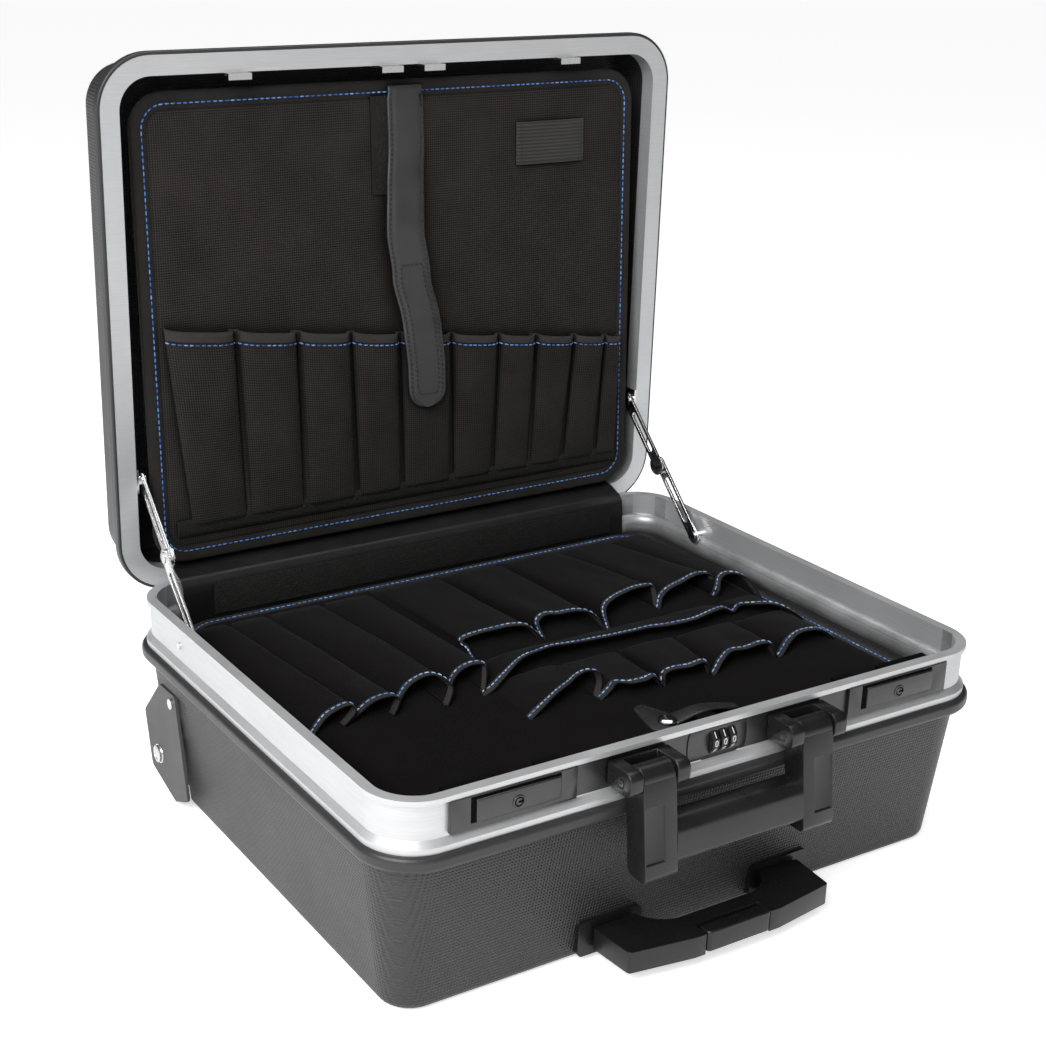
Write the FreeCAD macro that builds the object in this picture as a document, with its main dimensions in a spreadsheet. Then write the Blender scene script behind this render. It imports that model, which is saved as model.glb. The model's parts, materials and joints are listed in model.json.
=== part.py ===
# Hard tool case on wheels: a drafted tray and lid of black plastic, each edged
# with an aluminium frame, shown lying on its bottom with the lid standing open.
import FreeCAD, Part
import math
import os
import re
import Sketcher

Vector = FreeCAD.Vector

# Driving dimensions, in millimetres and degrees.
# X runs to the right, Y to the back, Z up. The origin is the middle of the underside.
SIZES = {
    # aluminium frame of the tray
    "rim_height": 154, "rim_half_width": 240, "rim_half_depth": 194, "rim_corner": 35,
    "rim_thickness": 7.5, "bead_height": 3.5, "bead_overhang": 2.4,
    "frame_height": 35, "flange_height": 8, "flange_reach": 1.2,
    # plastic tray
    "lip_reach": 3.8, "lip_height": 11, "lip_round": 4, "wall_inset_side": 7,
    "wall_inset_end": 9, "wall_draft": 11.8,
    "foot_corner": 22, "foot_edge": 7, "shell_wall": 3, "upstand_height": 13,
    "upstand_wall": 3.9, "seat_height": 3, "seat_reach_side": 16.5, "seat_reach_end": 22,
    "fit_gap": 0.1, "seat_gap": 0.3, "overrun": 5,
    # lid
    "lid_overhang": 2.6, "lid_overlap": 1, "lid_corner": 37.5, "lid_face_width": 14,
    "lid_face_thickness": 2.5, "lid_edge_depth": 4.5, "lid_return_depth": 14,
    "lid_return_wall": 2, "lid_height": 60, "lid_lip_reach": 2.4, "lid_lip_height": 8,
    "lid_wall_inset": 5, "lid_draft": 7, "lid_edge": 14, "closed_gap": 0.3,
    # hinges on the back
    "hinge_back": 0.9, "hinge_drop": 8.2, "hinge_share": 0.5417, "hinge_width": 60,
    "knuckle_radius": 2.9, "hinge_pin_radius": 1.2, "leaf_thickness": 1.4,
    "base_leaf_height": 16, "lid_leaf_height": 9, "running_gap": 0.05, "turn_gap": 0.3,
    # lock plates on the front
    "plate_thickness": 1.6, "plate_bottom": 25.5, "plate_end_share": 0.8333,
    "plate_split_share": 0.4583, "plate_joint": 0.4, "tab_share": 0.6417, "tab_width": 63, "tab_height": 16, "tab_top": 5,
    "tab_thickness": 3.4, "tab_stand": 0.8, "tab_gap": 0.4, "tab_pin_radius": 0.8,
    "tab_ear": 3, "barrel_radius": 4.5, "barrel_drop": 14.5, "barrel_stand": 0.5,
    "barrel_length": 2.7, "keyway_width": 1.2, "keyway_height": 5, "keyway_depth": 1,
    "lock_case_depth": 12, "lock_case_width": 84, "lock_case_top": 4, "lock_case_height": 20,
    "lock_case_wall": 1.5, "strike_room": 22, "strike_room_start": 2,
    # combination dials
    "dial_middle": 3, "dial_pitch": 7.2, "dial_width": 5.4, "dial_radius": 9.5,
    "dial_depth": 4.9, "dial_drop": 14.5, "window_gap": 0.6,
    "dial_axle_radius": 1.5, "dial_case_width": 28, "dial_case_depth": 10,
    "dial_case_height": 24, "dial_case_wall": 2, "strike_room_drop": 11,
    # carry handle
    "bracket_share": 0.2667, "bracket_width": 46, "ear_width": 9.8, "bracket_top": 6.5,
    "bracket_height": 16.5, "ear_reach": 24.4, "bracket_web": 2.6, "ear_round": 6,
    "pivot_reach": 14.3, "pivot_drop": 15.5, "handle_barrel": 9, "handle_pin_radius": 2.5,
    "ear_gap": 0.5, "arm_length": 66, "arm_depth": 19, "arm_lean": 8, "arm_round": 5,
    "grip_height": 28, "grip_depth": 22, "grip_rise": 8, "grip_stand": 1.5, "grip_round": 9,
    # telescopic trolley handle
    "tube_middle": 71, "tube_height": 16.3, "tube_width": 24, "tube_depth": 16,
    "tube_wall": 1.4, "tube_round": 3, "tube_play": 0.3, "tube_margin": 63,
    "middle_shortening": 7, "rod_extra": 5, "bezel_width": 50, "bezel_height": 25, "bezel_stand": 4,
    "bezel_round": 4, "bezel_collar": 6, "collar_wall": 2, "clamp_length": 12,
    "clamp_wall": 3, "trolley_half_width": 86, "trolley_half_opening": 56,
    "trolley_thickness": 15.5, "trolley_reach": 35, "trolley_bar": 20.5,
    "trolley_bow": 7, "trolley_gap": 1, "trolley_taper": 3, "trolley_slant": 9,
    "trolley_round": 4, "socket_depth": 14,
    "button_width": 52, "button_depth": 12, "button_rise": 1.5, "button_travel": 4,
    "button_gap": 0.4, "button_height": 9,
    # wheels in their brackets at the back corners
    "axle_inset": 32, "axle_height": 30, "wheel_radius": 22, "tyre_radius": 28.5,
    "wheel_width": 22, "axle_radius": 4, "axle_head": 6.5, "axle_head_height": 2,
    "cheek_inset": 3, "cheek_thickness": 2.4, "cheek_front_reach": 52, "cheek_front_height": 13,
    "cheek_toe_reach": 29, "cheek_toe_height": 3, "cheek_tail_reach": 14, "cheek_tail_height": 15,
    "cheek_back_reach": 25, "cheek_back_height": 57, "cheek_peak_reach": 6,
    "cheek_peak_height": 90, "cheek_brow_reach": 34, "cheek_brow_height": 91, "cheek_round": 5,
    "cheek_room": 1.5, "recess_width": 39, "recess_reach": 34, "recess_top": 64,
    "bracket_gap": 0.3, "bracket_roof": 3, "inner_cheek_thickness": 3,
    "inner_cheek_reach": 11, "bracket_rivet_reach": 28, "bracket_rivet_height": 83,
    "bracket_rivet_radius": 4, "bracket_rivet_stand": 1.6,
    # folding lid stays
    "stay_half_width": 5.5, "stay_end": 6.5, "stay_thickness": 2, "stay_gap": 0.5,
    "stay_room": 5.6, "stay_lid_back": 4, "stay_lid_height": 78, "stay_base_inset": 82,
    "stay_base_drop": 16, "stay_rivet": 2.5, "stay_rivet_head": 4.2,
    "stay_head_height": 1.2, "stay_lower_length": 69, "knee_disc": 8.5,
    "knee_disc_thickness": 1.2, "stay_slot": 2.6, "stay_slot_end": 13,
    "stay_plate_thickness": 1.6, "stay_plate_width": 18,
    "strike_thickness": 1.6, "strike_width": 18, "strike_reach": 8, "strike_foot": 12,
    "strike_hook": 4.5, "strike_shift": 13, "strike_inner": 18,
    # padded boards and what is sewn on them
    "board_margin": 12.5, "board_margin_back": 5.5, "board_thickness": 5.7,
    "board_corner": 30, "board_drop": 30,
    "lid_board_margin": 11.1, "lid_board_low": 10, "lid_board_shortening": 44,
    "lid_board_corner": 26, "lid_board_thickness": 6, "lid_board_out": 4.4,
    "lid_board_lean": 2.8, "post_radius": 6, "post_margin": 67.5, "post_low": 60,
    "lid_pocket_left": 167, "lid_pocket_right": 127, "lid_pocket_low": 28,
    "lid_pocket_bulge": 6, "lid_pocket_flat": 1.5, "lid_pocket_margin": 9.5,
    "pocket_bulge_share": 0.33, "pocket_height": 13, "pocket_seam_height": 3,
    "pocket_gap": 0.4, "loop_margin": 114.5, "loop_width": 64, "loop_height": 33, "loop_drop": 70,
    "loop_thickness": 1.6, "strap_width": 34, "strap_thickness": 2.4, "strap_length": 255,
    "strap_top_margin": 4, "strap_top_x": 3, "strap_swing": 3, "strap_stand": 8.6,
    "strap_flat_share": 0.12, "strap_rest_share": 0.66,
    "snap_width": 34, "snap_length_share": 0.2824, "snap_thickness": 2, "snap_middle": -12,
    "snap_turn": 14, "snap_margin": 7, "stud_radius": 6.5, "stud_height": 3,
    "cover_margin": 36, "cover_thickness": 1.5, "cover_stand": 0.4, "cover_shoulder": 4,
    "cover_bend_height": 2, "cover_top_height": 6.2, "cover_reach": 10,
}

# How far an edge may stray, as a share of its length, and still count as straight or flat.
STRAIGHT_SHARE = 0.0001

# Shares of the half width where the pockets on the lid's board are sewn down.
LID_SEAM_SHARES = [-0.99, -0.715, -0.46, -0.25, -0.03, 0.21, 0.38, 0.59, 0.775, 0.945, 1]

# Pocket rows on the tray's board. The first number is the back seam of the row as a share
# of the board's reach to the back. Each pair is one corner of the mouths: across as a share
# of the board's half width, and back as a share of its reach to the back.
POCKET_ROW_SHARES = {
    "base_pockets_left": (0.94, [(-0.96, -0.244), (-0.84, -0.293), (-0.72, -0.268),
                                 (-0.6, -0.232), (-0.48, -0.195), (-0.35, -0.146)]),
    "base_pockets_back": (0.94, [(-0.3, 0.037), (-0.06, 0.085), (0.2, 0.11),
                                 (0.46, 0.146), (0.7, 0.183), (0.96, 0.207)]),
    "base_pockets_middle": (0, [(-0.33, -0.342), (-0.08, -0.195), (0.2, -0.207),
                                (0.6, -0.22), (0.93, -0.293)]),
    "base_pockets_front": (-0.366, [(-0.42, -0.647), (-0.1, -0.561), (0.1, -0.61),
                                     (0.32, -0.598), (0.6, -0.598), (0.83, -0.61)]),
}

# Places worked out from the driving dimensions.
PLACES = {
    "wall_half_width": "rim_half_width - bead_overhang",
    "wall_half_depth": "rim_half_depth - bead_overhang",
    "wall_frame_corner": "rim_corner - bead_overhang",
    "inner_half_width": "rim_half_width - rim_thickness",
    "inner_half_depth": "rim_half_depth - rim_thickness",
    "inner_corner": "rim_corner - rim_thickness",
    "frame_low": "rim_height - frame_height",
    "flange_half_width": "rim_half_width + flange_reach",
    "flange_half_depth": "rim_half_depth + flange_reach",
    "flange_corner": "rim_corner + flange_reach",
    "lip_half_width": "flange_half_width + lip_reach",
    "lip_half_depth": "flange_half_depth + lip_reach",
    "lip_corner": "flange_corner + lip_reach",
    "wall_top": "frame_low - lip_height",
    "shell_half_width": "lip_half_width - wall_inset_side",
    "shell_half_depth": "lip_half_depth - wall_inset_end",
    "foot_half_width": "shell_half_width - wall_draft",
    "foot_half_depth": "shell_half_depth - wall_draft",
    "upstand_half_width": "inner_half_width - fit_gap - upstand_wall",
    "upstand_half_depth": "inner_half_depth - fit_gap - upstand_wall",
    "board_low": "rim_height - board_drop - board_thickness",
    "seat_top": "board_low - seat_gap",
    "seat_low": "seat_top - seat_height",
    "front_face": "wall_half_depth + plate_thickness",
    "hinge_y": "rim_half_depth + hinge_back",
    "hinge_z": "rim_height - hinge_drop",
    "lid_half_width": "rim_half_width + lid_overhang",
    "lid_half_depth": "rim_half_depth + lid_overlap",
    "hinge_middle": "rim_half_width * hinge_share",
    "lid_face": "hinge_y + hinge_drop + closed_gap",
    "lid_middle": "hinge_z + hinge_y",
    "lid_low": "lid_middle - lid_half_depth",
    "lid_back": "lid_face + lid_height",
    "lid_opening": "lid_half_width - lid_face_width",
    "lid_opening_end": "lid_half_depth - lid_face_width",
    "lid_wall_half_width": "lid_half_width + lid_lip_reach - lid_wall_inset",
    "lid_wall_half_depth": "lid_half_depth + lid_lip_reach - lid_wall_inset",
    "plate_end": "rim_half_width * plate_end_share",
    "plate_split": "rim_half_width * plate_split_share",
    "tab_middle": "rim_half_width * tab_share",
    "strike_outer": "tab_middle - strike_shift",
    "tab_low": "rim_height - tab_top - tab_height",
    "tab_pin_z": "rim_height - tab_top - tab_thickness / 2",
    "tab_pin_y": "0 - front_face - tab_stand - tab_thickness / 2",
    "barrel_z": "rim_height - barrel_drop",
    "dial_y": "dial_depth - front_face",
    "dial_z": "rim_height - dial_drop",
    "window_height": "2 * sqrt(dial_radius ^ 2 - (dial_depth - plate_thickness) ^ 2) + window_gap",
    "bracket_inner": "rim_half_width * bracket_share - bracket_width / 2",
    "bracket_outer": "bracket_inner + bracket_width",
    "pivot_y": "0 - front_face - pivot_reach",
    "pivot_z": "rim_height - pivot_drop",
    "arm_inner": "bracket_inner + ear_width + ear_gap",
    "arm_outer": "bracket_outer - ear_width - ear_gap",
    "arm_front": "pivot_y - handle_barrel - arm_lean",
    "trolley_wall": "wall_draft * (1 - tube_height / wall_top) - shell_half_depth",
    "bezel_face": "trolley_wall - bezel_stand",
    "trolley_back": "bezel_face - trolley_gap",
    "trolley_front": "trolley_back - trolley_reach",
    "tube_length": "2 * rim_half_depth - tube_margin",
    "middle_length": "tube_length - middle_shortening",
    "rod_length": "tube_length + rod_extra",
    "middle_width": "tube_width - 2 * tube_wall - 2 * tube_play",
    "middle_depth": "tube_depth - 2 * tube_wall - 2 * tube_play",
    "rod_width": "middle_width - 2 * tube_wall - 2 * tube_play",
    "rod_depth": "middle_depth - 2 * tube_wall - 2 * tube_play",
    "axle_y": "rim_half_depth - axle_inset",
    "recess_front": "axle_y - recess_reach",
    "cheek_front": "axle_y - cheek_front_reach",
    "bracket_rivet_y": "axle_y - bracket_rivet_reach",
    "cheek_face": "rim_half_width - cheek_inset",
    "recess_inner": "cheek_face - recess_width",
    "cheek_inner": "cheek_face - cheek_thickness",
    "wheel_middle": "(recess_inner + bracket_gap + inner_cheek_thickness + cheek_inner) / 2",
    "stay_outer": "inner_half_width - stay_room",
    "stay_step": "stay_thickness + stay_gap",
    "stay_lid_y": "lid_face + stay_lid_back",
    "stay_lid_z": "rim_height + stay_lid_height",
    "stay_base_z": "rim_height - stay_base_drop",
    "stay_base_y": "rim_half_depth - stay_base_inset",
    "stay_run_y": "stay_lid_y - stay_base_y",
    "stay_run_z": "stay_lid_z - stay_base_z",
    "stay_run": "sqrt(stay_run_y ^ 2 + stay_run_z ^ 2)",
    "stay_angle": "atan2(stay_run_z; stay_run_y)",
    "stay_upper_length": "stay_run - stay_lower_length",
    "board_half_width": "upstand_half_width - board_margin",
    "board_front": "upstand_half_depth - board_margin",
    "board_back": "upstand_half_depth - board_margin_back",
    "snap_length": "board_front * snap_length_share",
    "cover_half_width": "rim_half_width - cover_margin",
    "lid_board_half_width": "lid_opening - lid_board_margin",
    "loop_left": "lid_board_half_width - loop_margin",
    "lid_board_height": "2 * lid_half_depth - lid_board_shortening",
    "lid_pocket_half_width": "lid_board_half_width - lid_pocket_margin",
    "lid_board_y": "lid_face - lid_board_out",
    "lid_board_z": "rim_height + lid_board_low",
}


def cell_text(text, own=""):
    """Point each word of an expression at the sheet that holds it."""
    def point(match):
        word = match.group(0)
        if word in SIZES:
            return "Sizes." + word
        if word in PLACES:
            return word if own == "Places" else "Places." + word
        return word
    return re.sub(r"[a-z][a-z_0-9]*", point, text)


doc = FreeCAD.newDocument("ToolCase")
sizes = doc.addObject("Spreadsheet::Sheet", "Sizes")
for row, (name, value) in enumerate(SIZES.items(), start=1):
    sizes.set("A%d" % row, name)
    sizes.set("B%d" % row, str(value))
    sizes.setAlias("B%d" % row, name)
places = doc.addObject("Spreadsheet::Sheet", "Places")
for row, name in enumerate(PLACES, start=1):
    places.set("A%d" % row, name)
    places.setAlias("B%d" % row, name)
for row, text in enumerate(PLACES.values(), start=1):
    places.set("B%d" % row, "=" + cell_text(text, "Places"))
doc.recompute()


PARTS = []
counter = {}


def fresh(stem):
    """A new object name, because operands of one kind repeat."""
    counter[stem] = counter.get(stem, 0) + 1
    return "%s_%d" % (stem, counter[stem])


def bind(item, **texts):
    """Bind properties to expressions; a double underline stands for a dot."""
    for key, text in texts.items():
        item.setExpression(key.replace("__", "."), cell_text(text))
    return item


def keep(item, label):
    """Name a finished sub-part."""
    item.Label = label
    PARTS.append(item)
    return item


def block(x, y, z, dx, dy, dz):
    """A box from its low corner and its three lengths."""
    item = doc.addObject("Part::Box", fresh("block"))
    return bind(item, Length=dx, Width=dy, Height=dz,
                Placement__Base__x=x, Placement__Base__y=y, Placement__Base__z=z)


AXIS_TURNS = {"x": (Vector(0, 1, 0), 90), "y": (Vector(1, 0, 0), -90), "z": (Vector(0, 0, 1), 0)}


def rod(axis, x, y, z, radius, length):
    """A cylinder along one axis, from the middle of its first end."""
    item = doc.addObject("Part::Cylinder", fresh("rod"))
    turn, angle = AXIS_TURNS[axis]
    item.Placement = FreeCAD.Placement(Vector(), FreeCAD.Rotation(turn, angle))
    return bind(item, Radius=radius, Height=length,
                Placement__Base__x=x, Placement__Base__y=y, Placement__Base__z=z)


def fuse(*items):
    item = doc.addObject("Part::MultiFuse", fresh("fuse"))
    item.Shapes = list(items)
    return item


def cut(base, *tools):
    """Take one or more tools out of a base."""
    item = doc.addObject("Part::Cut", fresh("cut"))
    item.Base = base
    item.Tool = tools[0] if len(tools) == 1 else fuse(*tools)
    return item


def group(*items):
    """Separate solids that share one node."""
    item = doc.addObject("Part::Compound", fresh("group"))
    item.Links = list(items)
    return item


def mirror(source):
    """The same piece on the other side of the case."""
    item = doc.addObject("Part::Mirroring", fresh("mirror"))
    item.Source = source
    item.Base = Vector(0, 0, 0)
    item.Normal = Vector(1, 0, 0)
    return item


def new_body(stem):
    return doc.addObject("PartDesign::Body", fresh(stem))


def new_sketch(body, plane, offset):
    """A sketch on one of the body's own planes, moved along its normal."""
    sketch = body.newObject("Sketcher::SketchObject", fresh("sketch"))
    support = [f for f in body.Origin.OriginFeatures if f.Role == plane][0]
    sketch.AttachmentSupport = [(support, "")]
    sketch.MapMode = "FlatFace"
    bind(sketch, AttachmentOffset__Base__z=offset)
    return sketch


def constrain(sketch, kind, *args, text=None):
    """Add a constraint; a dimension gets its expression."""
    index = sketch.addConstraint(Sketcher.Constraint(kind, *args))
    if text:
        sketch.renameConstraint(index, "size%d" % index)
        sketch.setExpression("Constraints.size%d" % index, cell_text(text))


def draw_round_rect(sketch, left, right, low, high, radius):
    """A rectangle with four equal corner arcs."""
    a, w, b, u, r = (number(text) for text in (left, right, low, high, radius))
    corners = [(w - r, b + r, 270), (w - r, u - r, 0), (a + r, u - r, 90), (a + r, b + r, 180)]
    sides = [((a + r, b), (w - r, b)), ((w, b + r), (w, u - r)),
             ((w - r, u), (a + r, u)), ((a, u - r), (a, b + r))]
    for start, end in sides:
        sketch.addGeometry(Part.LineSegment(Vector(*start, 0), Vector(*end, 0)))
    for cx, cy, first in corners:
        circle = Part.Circle(Vector(cx, cy, 0), Vector(0, 0, 1), r)
        first = math.radians(first)
        sketch.addGeometry(Part.ArcOfCircle(circle, first, first + math.pi / 2))
    for side in range(4):
        constrain(sketch, "Tangent", side, 2, 4 + side, 1)
        constrain(sketch, "Tangent", 4 + side, 2, (side + 1) % 4, 1)
    for side, kind in enumerate(("Horizontal", "Vertical") * 2):
        constrain(sketch, kind, side)
    for corner in range(5, 8):
        constrain(sketch, "Equal", 4, corner)
    constrain(sketch, "Radius", 4, r, text=radius)
    constrain(sketch, "DistanceX", -1, 1, 1, 1, w, text=right)
    constrain(sketch, "DistanceX", -1, 1, 3, 1, a, text=left)
    constrain(sketch, "DistanceY", -1, 1, 0, 1, b, text=low)
    constrain(sketch, "DistanceY", -1, 1, 2, 1, u, text=high)


def draw_outline(sketch, points):
    """A closed outline of straight edges; each corner is a pair of expressions."""
    spots = [Vector(number(x), number(y), 0) for x, y in points]
    count = len(spots)
    for index in range(count):
        sketch.addGeometry(Part.LineSegment(spots[index], spots[(index + 1) % count]))
    for index, (x, y) in enumerate(points):
        constrain(sketch, "Coincident", index, 2, (index + 1) % count, 1)
        constrain(sketch, "DistanceX", -1, 1, index, 1, spots[index].x, text=x)
        constrain(sketch, "DistanceY", -1, 1, index, 1, spots[index].y, text=y)


def number(text):
    """The present value of an expression."""
    return float(places.evalExpression(cell_text(text)))


def minus(text):
    return "0 - (%s)" % text


def pad(plane, offset, thickness, draw, *outline):
    """One outline raised from a plane by a thickness."""
    body = new_body("pad")
    sketch = new_sketch(body, plane, offset)
    draw(sketch, *outline)
    feature = body.newObject("PartDesign::Pad", fresh("raise"))
    feature.Profile = sketch
    bind(feature, Length=thickness)
    return body


def slab_z(low, thickness, half_width, half_depth, corner):
    """A rounded slab centred on the case, lying flat."""
    return pad("XY_Plane", low, thickness, draw_round_rect,
               minus(half_width), half_width, minus(half_depth), half_depth, corner)


def slab_y(back, thickness, left, right, low, high, corner):
    """A rounded slab standing across the case, from its back face to the front."""
    return pad("XZ_Plane", minus(back), thickness, draw_round_rect, left, right, low, high, corner)


def slab_x(left, thickness, front, back, low, high, corner):
    """A rounded slab standing along the case."""
    return pad("YZ_Plane", left, thickness, draw_round_rect, front, back, low, high, corner)


def lid_slab(back, thickness, half_width, half_height, corner):
    """A rounded slab centred on the open lid."""
    return slab_y(back, thickness, minus(half_width), half_width,
                  "lid_middle - (%s)" % half_height, "lid_middle + (%s)" % half_height, corner)


def drafted(body, slope):
    """Slant the sides of a raised outline by a length per unit of its height."""
    body.Tip.setExpression("TaperAngle", "atan(%s)" % cell_text(slope))
    return body


def round_edges(body, radius, chosen):
    """Round the edges of a body that a test picks."""
    doc.recompute()
    base = body.Tip
    names = ["Edge%d" % index for index, edge in enumerate(base.Shape.Edges, start=1) if chosen(edge)]
    fillet = body.newObject("PartDesign::Fillet", fresh("round"))
    fillet.Base = (base, names)
    bind(fillet, Radius=radius)
    return body


def runs_along(edge, axis):
    """Whether an edge is straight along one axis."""
    spread = [edge.BoundBox.XLength, edge.BoundBox.YLength, edge.BoundBox.ZLength]
    own = spread.pop("xyz".index(axis))
    return own > max(spread) and max(spread) < STRAIGHT_SHARE * own


def flat_at(edge, axis, place):
    """Whether an edge lies in one plane across an axis."""
    box = edge.BoundBox
    low, high = {"y": (box.YMin, box.YMax), "z": (box.ZMin, box.ZMax)}[axis]
    near = STRAIGHT_SHARE * box.DiagonalLength
    return high - low < near and abs(low - number(place)) < near


def common(*items):
    item = doc.addObject("Part::MultiCommon", fresh("common"))
    item.Shapes = list(items)
    return item


def both(source):
    """A piece and its mirror image as two solids of one node."""
    return group(source, mirror(source))


def pair(source, stem):
    """The same piece on the right and on the left, as two nodes."""
    keep(source, stem + "_right")
    keep(mirror(source), stem + "_left")


def shell_outside():
    body = drafted(slab_z("0", "wall_top", "foot_half_width", "foot_half_depth", "foot_corner"),
                   "wall_draft / wall_top")
    return round_edges(body, "foot_edge", lambda edge: flat_at(edge, "z", "0"))


def base_shell():
    """Drafted plastic tray with a rounded lip, a seat for the board and wheel housings."""
    lip = slab_z("wall_top", "lip_height", "lip_half_width", "lip_half_depth", "lip_corner")
    lip = round_edges(lip, "lip_round", lambda edge: not runs_along(edge, "z"))
    upstand = slab_z("frame_low", "upstand_height", "inner_half_width - fit_gap",
                     "inner_half_depth - fit_gap", "inner_corner - fit_gap")
    cavity = drafted(slab_z("shell_wall", "seat_low - shell_wall", "foot_half_width - shell_wall",
                            "foot_half_depth - shell_wall", "foot_corner - shell_wall"),
                     "wall_draft / wall_top")
    mouth = slab_z("seat_low - overrun", "upstand_height + 2 * overrun",
                   "upstand_half_width - seat_reach_side", "upstand_half_depth - seat_reach_end",
                   "foot_corner")
    well = slab_z("seat_top", "rim_height - seat_top", "upstand_half_width",
                  "upstand_half_depth", "inner_corner - fit_gap - upstand_wall")
    tray = cut(fuse(shell_outside(), lip, upstand), cavity, mouth, well)
    out_side = "shell_half_width - (%s) + overrun"
    out_back = "shell_half_depth - (%s) + overrun"
    housing = block("recess_inner - shell_wall", "recess_front - shell_wall", "0",
                    out_side % "recess_inner", out_back % "recess_front", "recess_top + shell_wall")
    recess = block("recess_inner", "recess_front", "0 - overrun", out_side % "recess_inner",
                   out_back % "recess_front", "recess_top + overrun")
    cheek_room = block("cheek_inner - fit_gap", "cheek_front - cheek_room", "0 - overrun",
                       out_side % "cheek_inner", out_back % "cheek_front",
                       "cheek_brow_height + cheek_room + overrun")
    rivet_hole = rod("x", "recess_inner", "bracket_rivet_y", "bracket_rivet_height",
                     "bracket_rivet_radius / 2 + fit_gap", out_side % "recess_inner")
    housings = [common(shell_outside(), both(housing))]
    collar_hole = slab_y("trolley_wall + shell_wall + overrun", "shell_wall + 2 * overrun",
                         "tube_middle - tube_width / 2 - collar_wall - fit_gap",
                         "tube_middle + tube_width / 2 + collar_wall + fit_gap",
                         "tube_height - tube_depth / 2 - collar_wall - fit_gap",
                         "tube_height + tube_depth / 2 + collar_wall + fit_gap", "bezel_round")
    lock_notch = block("tab_middle - lock_case_width / 2 - seat_gap", "0 - inner_half_depth",
                       "rim_height - lock_case_top - lock_case_height - seat_gap",
                       "lock_case_width + 2 * seat_gap", "lock_case_depth", "lock_case_height")
    dial_notch = block("dial_middle - dial_case_width / 2 - seat_gap", "0 - inner_half_depth",
                       "dial_z - dial_case_height / 2 - seat_gap",
                       "dial_case_width + 2 * seat_gap", "dial_case_depth + overrun",
                       "dial_case_height")
    tools = [both(item) for item in (recess, cheek_room, rivet_hole, collar_hole, lock_notch)]
    keep(cut(fuse(tray, *housings), *tools, dial_notch), "base_shell")


def base_frame():
    """Aluminium frame: bead, wall and flared flange round the tray's opening."""
    bead = slab_z("rim_height - bead_height", "bead_height", "rim_half_width", "rim_half_depth",
                  "rim_corner")
    wall = slab_z("frame_low", "frame_height - bead_height", "wall_half_width",
                  "wall_half_depth", "wall_frame_corner")
    flange = slab_z("frame_low", "flange_height / 2", "flange_half_width", "flange_half_depth",
                    "flange_corner")
    cove = drafted(slab_z("frame_low + flange_height / 2", "flange_height / 2",
                          "flange_half_width", "flange_half_depth", "flange_corner"),
                   "(wall_half_width - flange_half_width) / (flange_height / 2)")
    bore = slab_z("frame_low - overrun", "frame_height + 2 * overrun", "inner_half_width",
                  "inner_half_depth", "inner_corner")
    window = block("dial_middle - dial_case_width / 2 - seat_gap", "0 - wall_half_depth",
                   "dial_z - dial_case_height / 2 - seat_gap", "dial_case_width + 2 * seat_gap",
                   "rim_thickness", "dial_case_height + 2 * seat_gap")
    keep(cut(fuse(bead, wall, flange, cove), bore, window), "base_frame")


def plate_block(left, width, low="rim_height - plate_bottom"):
    return block(left, "0 - front_face", low, width, "plate_thickness",
                 "plate_bottom - bead_height")


def lock_plates():
    """Plates on the front wall with the ears and the pin that carry a flip-out tab."""
    plate = plate_block("plate_split + plate_joint / 2", "plate_end - plate_split - plate_joint / 2")
    ear_start = "tab_width / 2 + tab_gap"
    ears = [block(left, "0 - front_face - tab_stand - tab_thickness",
                  "tab_pin_z - tab_thickness / 2", "tab_ear", "tab_stand + tab_thickness",
                  "tab_thickness")
            for left in ("tab_middle + " + ear_start, "tab_middle - tab_ear - (%s)" % ear_start)]
    pin = rod("x", "tab_middle - tab_ear / 2 - (%s)" % ear_start, "tab_pin_y", "tab_pin_z",
              "tab_pin_radius", "tab_width + 2 * tab_gap + tab_ear")
    pair(fuse(plate, *ears, pin), "lock_plate")


def lock_tabs():
    """Flip-out tab hung on the pin, with a blind bore for the key barrel."""
    tab = slab_y("0 - front_face - tab_stand", "tab_thickness", "tab_middle - tab_width / 2",
                 "tab_middle + tab_width / 2", "tab_low", "tab_low + tab_height", "tab_gap")
    bore = rod("x", "tab_middle - tab_width", "tab_pin_y", "tab_pin_z",
               "tab_pin_radius + running_gap", "tab_width * 2")
    barrel_bore = rod("y", "tab_middle", "0 - front_face - tab_stand - tab_thickness - overrun",
                      "barrel_z", "barrel_radius + running_gap",
                      "barrel_length - barrel_stand + overrun")
    pair(cut(tab, bore, barrel_bore), "lock_tab")


def key_barrels():
    """Key barrel standing a little out of its tab, with a keyway across its face."""
    front = "0 - front_face - tab_stand - tab_thickness - barrel_stand"
    barrel = rod("y", "tab_middle", front, "barrel_z", "barrel_radius", "barrel_length")
    keyway = block("tab_middle - keyway_width / 2", front + " - overrun",
                   "barrel_z - keyway_height / 2", "keyway_width", "keyway_depth + overrun",
                   "keyway_height")
    pair(cut(barrel, keyway), "key_barrel")


def lock_cases():
    """Thin covers over the lock works inside the frame, slotted for the lid's strikes."""
    low = "rim_height - lock_case_top - lock_case_height"
    case = block("tab_middle - lock_case_width / 2", "0 - inner_half_depth", low,
                 "lock_case_width", "lock_case_depth", "lock_case_height")
    room = block("tab_middle - lock_case_width / 2 + lock_case_wall",
                 "0 - inner_half_depth - overrun", low + " + lock_case_wall",
                 "lock_case_width - 2 * lock_case_wall",
                 "lock_case_depth - lock_case_wall + overrun",
                 "lock_case_height - 2 * lock_case_wall")
    slot = block("strike_outer - strike_room / 2", "strike_room_start - inner_half_depth",
                 "rim_height - strike_room_drop", "strike_room", "lock_case_depth",
                 "strike_room_drop")
    keep(both(cut(case, room, slot)), "lock_cases")


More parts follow.
